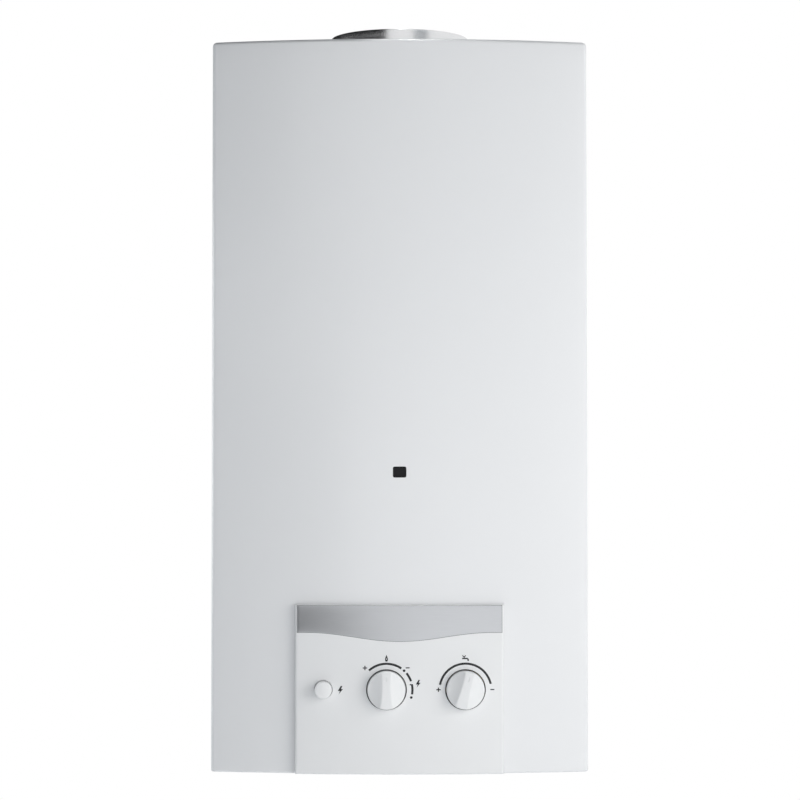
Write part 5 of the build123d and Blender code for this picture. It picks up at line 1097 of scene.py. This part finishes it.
# %% Which finish each inner piece gets
INNER_FINISHES = {
    galvanised: ["rear_panel", "connector_bracket", "valve_bracket", "piezo_bracket"],
    hot_galvanised: ["chamber_brackets", "burner_frame", "flue_hood"],
    hot_copper: ["combustion_jacket"],
    tinned_copper: ["fin_stack"],
    copper: ["exchanger_tube", "supply_coil", "cold_inlet_pipe", "hot_outlet_pipe", "gas_inlet_pipe"]
    + ["thermocouple", "pilot_tube", "manifold_riser"],
    brass: ["pipe_connectors", "pipe_nuts", "injectors", "pilot_burner", "spindle_glands", "gas_spindle"]
    + ["water_spindle", "gas_push_rod", "interlock_rod", "interlock_sleeve", "magnet_unit"],
    forged_brass: ["water_valve_body", "water_valve_cover"],
    cast_aluminium: ["gas_valve_body", "gas_valve_cap", "gas_manifold"],
    zinc_steel: ["casing_screws", "fascia_screws", "frame_screws", "hood_screws", "valve_screws", "piezo_nut"]
    + ["spill_sensor", "overheat_limiter"],
    spring_steel: ["push_spring", "valve_spring", "piezo_spring"],
    burner_steel: ["burner_bars"],
    black_rubber: ["diaphragm", "gas_disc"],
    black_moulding: ["piezo_body"],
    glazed_ceramic: ["ignition_electrode"],
    silicone_sleeve: ["ignition_lead"],
    mica_sheet: ["mica_window"],
}
print("inner pieces", sum(len(names) for names in INNER_FINISHES.values()))

# %% Welded copies of the inner pieces
INNER_CREASE_DEG = 32
body_of = {node: body for body, nodes in frame["record"]["behaviour"]["bodies"].items() for node in nodes}


def welded_copy(node):
    """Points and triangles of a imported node, with equal points joined by rounding and sorting them once."""
    mesh = frame["nodes"][node].data
    points = np.empty(len(mesh.vertices) * 3, np.float32)
    mesh.vertices.foreach_get("co", points)
    corners = np.empty(len(mesh.loops), np.int32)
    mesh.loops.foreach_get("vertex_index", corners)
    rounded = np.round(points.reshape(-1, 3).astype(float), 7)
    shared, renumbered = np.unique(rounded, axis=0, return_inverse=True)
    triangles = renumbered.ravel()[corners].reshape(-1, 3)
    proper = (triangles != np.roll(triangles, 1, axis=1)).all(axis=1)
    return shared, triangles[proper]


def inner_piece(node, material):
    """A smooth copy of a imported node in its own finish."""
    points, triangles = welded_copy(node)
    mesh = bpy.data.meshes.new(f"finished_{node}")
    mesh.from_pydata(points.tolist(), [], triangles.tolist())
    made = shaded(f"finished_{node}", mesh, INNER_CREASE_DEG)
    return dress(made, material, body_of[node], [node])


for material, names in INNER_FINISHES.items():
    for name in names:
        inner_piece(name, material)

# %% [markdown]
# Three springs are pressed when a rod, the button or the gas disc moves. The imported record says which joint
# # presses which spring and which end stays put. Here each spring's axis and fixed end are read, and its piece
# gets a mesh of its own.

# %% Springs: meshes of their own
def press_spring(spring):
    """Reads a spring's axis and fixed end and gives its piece a mesh of its own."""
    letter = spring["mode"][-1]
    line = "xyz".index(letter)
    axis, anchor = Vector(), Vector()
    axis[line], anchor[line] = 1.0, spring[f"fixed_end_{letter}_m"]
    coil = bpy.data.objects[f"finished_{spring['node']}"]
    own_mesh(coil)


for joint in frame["joints"]:
    for spring in joint.get("deforming_nodes", []):
        press_spring(spring)

# %% [markdown]
# The studio: a large soft lamp in front on the right, a weak one near the middle, a small one above for the
# top edge and a last one at the left that lights only the side. The world is white to the eye and to mirrors.
# As light it is dimmer, and dimmest from the front, so that the lamp on the right shapes the bow.

# %% White room
WHITE = rgba(1.0, 1.0, 1.0)


def seen_directly(tree):
    """One for rays from the eye, from a mirror or through glass, nothing for light that surfaces gather."""
    path = add_node(tree, "ShaderNodeLightPath").outputs
    mirror = maths(tree, "MAXIMUM", path["Is Camera Ray"], path["Is Glossy Ray"])
    return maths(tree, "MAXIMUM", mirror, path["Is Transmission Ray"])


def mix_shaders(tree, share, first, second):
    """The output of a mix of two shader nodes' outputs."""
    return add_node(tree, "ShaderNodeMixShader", {0: share, 1: first, 2: second}).outputs[0]


world = bpy.data.worlds.new("white_room")
bpy.context.scene.world = world
world.use_nodes = True
air = world.node_tree
dim = air.nodes["Background"]
dim.inputs["Color"].default_value = rgba(0.90, 0.95, 1.0)
direction = add_node(air, "ShaderNodeTexCoord").outputs["Generated"]
backwards = add_node(air, "ShaderNodeSeparateXYZ", {0: direction}).outputs["Y"]
strength = ramp(air, backwards, low=-0.35, high=0.35, low_result=0.28, high_result=0.95)
air.links.new(strength, dim.inputs["Strength"])
white = add_node(air, "ShaderNodeBackground", {"Color": WHITE, "Strength": 1.0})
room = mix_shaders(air, seen_directly(air), dim.outputs[0], white.outputs[0])
air.links.new(room, air.nodes["World Output"].inputs["Surface"])
print("world", world.name)

# %% Lamps
AIM = Vector((0.0, -0.15, 0.0))


def aimed(name, data, place, target):
    """Puts a lamp or a camera at a place, looking at a target."""
    made = bpy.data.objects.new(name, data)
    made.location = place
    made.rotation_euler = (target - Vector(place)).to_track_quat("-Z", "Y").to_euler()
    bpy.context.scene.collection.objects.link(made)
    return made


def lamp(name, place, size, power, colour=(1.0, 1.0, 1.0)):
    """A square soft lamp."""
    data = bpy.data.lights.new(name, "AREA")
    data.size = size
    data.energy = power
    data.color = colour
    print(name, power, "watts")
    return aimed(name, data, place, AIM)


key = lamp("key_lamp", (1.60, -1.65, 0.14), size=1.4, power=20.2, colour=(1.0, 0.985, 0.96))
fill = lamp("fill_lamp", (0.10, -1.18, -0.20), size=0.6, power=2.0)
key.visible_glossy = fill.visible_glossy = False
lamp("edge_lamp", (0.046, -0.25, 1.85), size=0.12, power=8.0)
lamp("rim_lamp", (-1.2, 0.12, 0.05), size=0.5, power=3.3)

# %% [markdown]
# The floor is a pale disc well below the hanging heater. Near the middle it takes a soft shadow, and further
# out it fades to the white of the room. From below it is clear, so the pipe ends can be looked at too.

# %% Floor
UP = Vector((0, 0, 1))
FLOOR_LEVEL = -720.0
FLOOR_REACH = 9000.0
FADE_START, FADE_END = 0.45, 1.8


def floor_material():
    """Pale paper that takes the heater's shadow, fades to the white of the room and is clear from below."""
    material = bpy.data.materials.new("pale_floor")
    material.use_nodes = True
    tree = material.node_tree
    shader = tree.nodes["Principled BSDF"]
    place = object_place(tree)
    grain = noise(tree, place, scale=35.0, detail=6.0)["Fac"]
    paper = mix_colours(tree, grain, rgba(0.84, 0.84, 0.84), rgba(0.87, 0.87, 0.87))
    tree.links.new(paper, shader.inputs["Base Color"])
    shader.inputs["Roughness"].default_value = 0.9
    away = add_node(tree, "ShaderNodeVectorMath", {0: place}, operation="LENGTH").outputs["Value"]
    share = maths(tree, "MULTIPLY", ramp(tree, away, FADE_START, FADE_END), seen_directly(tree))
    glow = add_node(tree, "ShaderNodeEmission", {"Color": WHITE, "Strength": 1.0})
    above = mix_shaders(tree, share, shader.outputs[0], glow.outputs[0])
    under = add_node(tree, "ShaderNodeNewGeometry").outputs["Backfacing"]
    clear = add_node(tree, "ShaderNodeBsdfTransparent")
    surface = mix_shaders(tree, under, above, clear.outputs[0])
    tree.links.new(surface, tree.nodes["Material Output"].inputs["Surface"])
    return material


def stage_sheet(name, x, y, z, material, wrap=False, towards=None):
    """A plain sheet of the studio in a material."""
    made = mesh_object(name, [sheet_of(x, y, z, wrap)], crease_deg=60, towards=towards)
    made.data.materials.append(material)
    print(name, "faces", len(made.data.polygons))
    return made


reach = np.linspace(0, FLOOR_REACH, 24)[:, None]
floor_x, floor_y = reach * np.cos(full_turn(64)), reach * np.sin(full_turn(64))
floor = stage_sheet("studio_floor", floor_x, floor_y, FLOOR_LEVEL, floor_material(), wrap=True, towards=UP)

# %% [markdown]
# Three bent boards stand round the heater that only reflections see: bright metal needs something dark beside
# it. Two dark flags hang over it, one each side of the flue, as in a photo studio. They keep the light from
# above off the casing's top edge, so the edge shows as a thin grey line against the white room.

# %% Boards and flags
BOARD_REACH = 1900.0
HIGH, LOW = (330, 1500), (-1300, 120)
FLAG_BACK = 150.0
dull_black = finish(
    "dull_black", fine_grain, (0.002, 0.002, 0.002), (0.004, 0.004, 0.004),
    Grain_Scale=300.0, Roughness=1.0, Specular_IOR_Level=0.0,
)


def board(name, bearings_deg, rises, material):
    """An upright board bent round the heater between two bearings: zero is the camera's, plus its right."""
    bearing = np.radians(steps(*bearings_deg, 4.0))
    rise = np.linspace(*rises, 6)[:, None]
    made = stage_sheet(name, BOARD_REACH * np.sin(bearing), -BOARD_REACH * np.cos(bearing), rise, material)
    made.visible_camera = made.visible_diffuse = made.visible_shadow = False
    return made


def flag(name, across, front, level):
    """A flat level sheet over the heater, between two places across it, from a front place to behind it."""
    y = np.linspace(front, FLAG_BACK, 4)[:, None]
    made = stage_sheet(name, np.linspace(*across, 4), y, level, dull_black)
    made.visible_camera = False
    return made


boards = [
    board("high_dark_board", (-156, -20), HIGH, dull_black),
    board("low_dark_board", (-60, -10), LOW, dull_black),
    board("grey_board", (22, 45), HIGH, galvanised),
]
flags = [
    flag("left_flag", across=(-450, -20), front=-480, level=600),
    flag("right_flag", across=(58, 360), front=-330, level=960),
]

# %% [markdown]
# The camera stands straight in front, a little below the middle of the casing, with a long lens. From so far
# away a tilt of two degrees is enough to put the heater in the middle, and upright edges still look upright.

# %% Camera
IMAGE = 800
FOCAL_PIXELS = 2818.0
EYE = (0.0, -2.836, -0.0988)
LOOK_AT = Vector((0.0004, -0.236, 0.0038))
lens = bpy.data.cameras.new("front_camera")
lens.sensor_width = 36.0
lens.lens = lens.sensor_width * FOCAL_PIXELS / IMAGE
bpy.context.scene.camera = aimed("front_camera", lens, EYE, LOOK_AT)
bpy.context.scene.view_settings.view_transform = "Standard"
print("lens", round(lens.lens, 1), "mm")
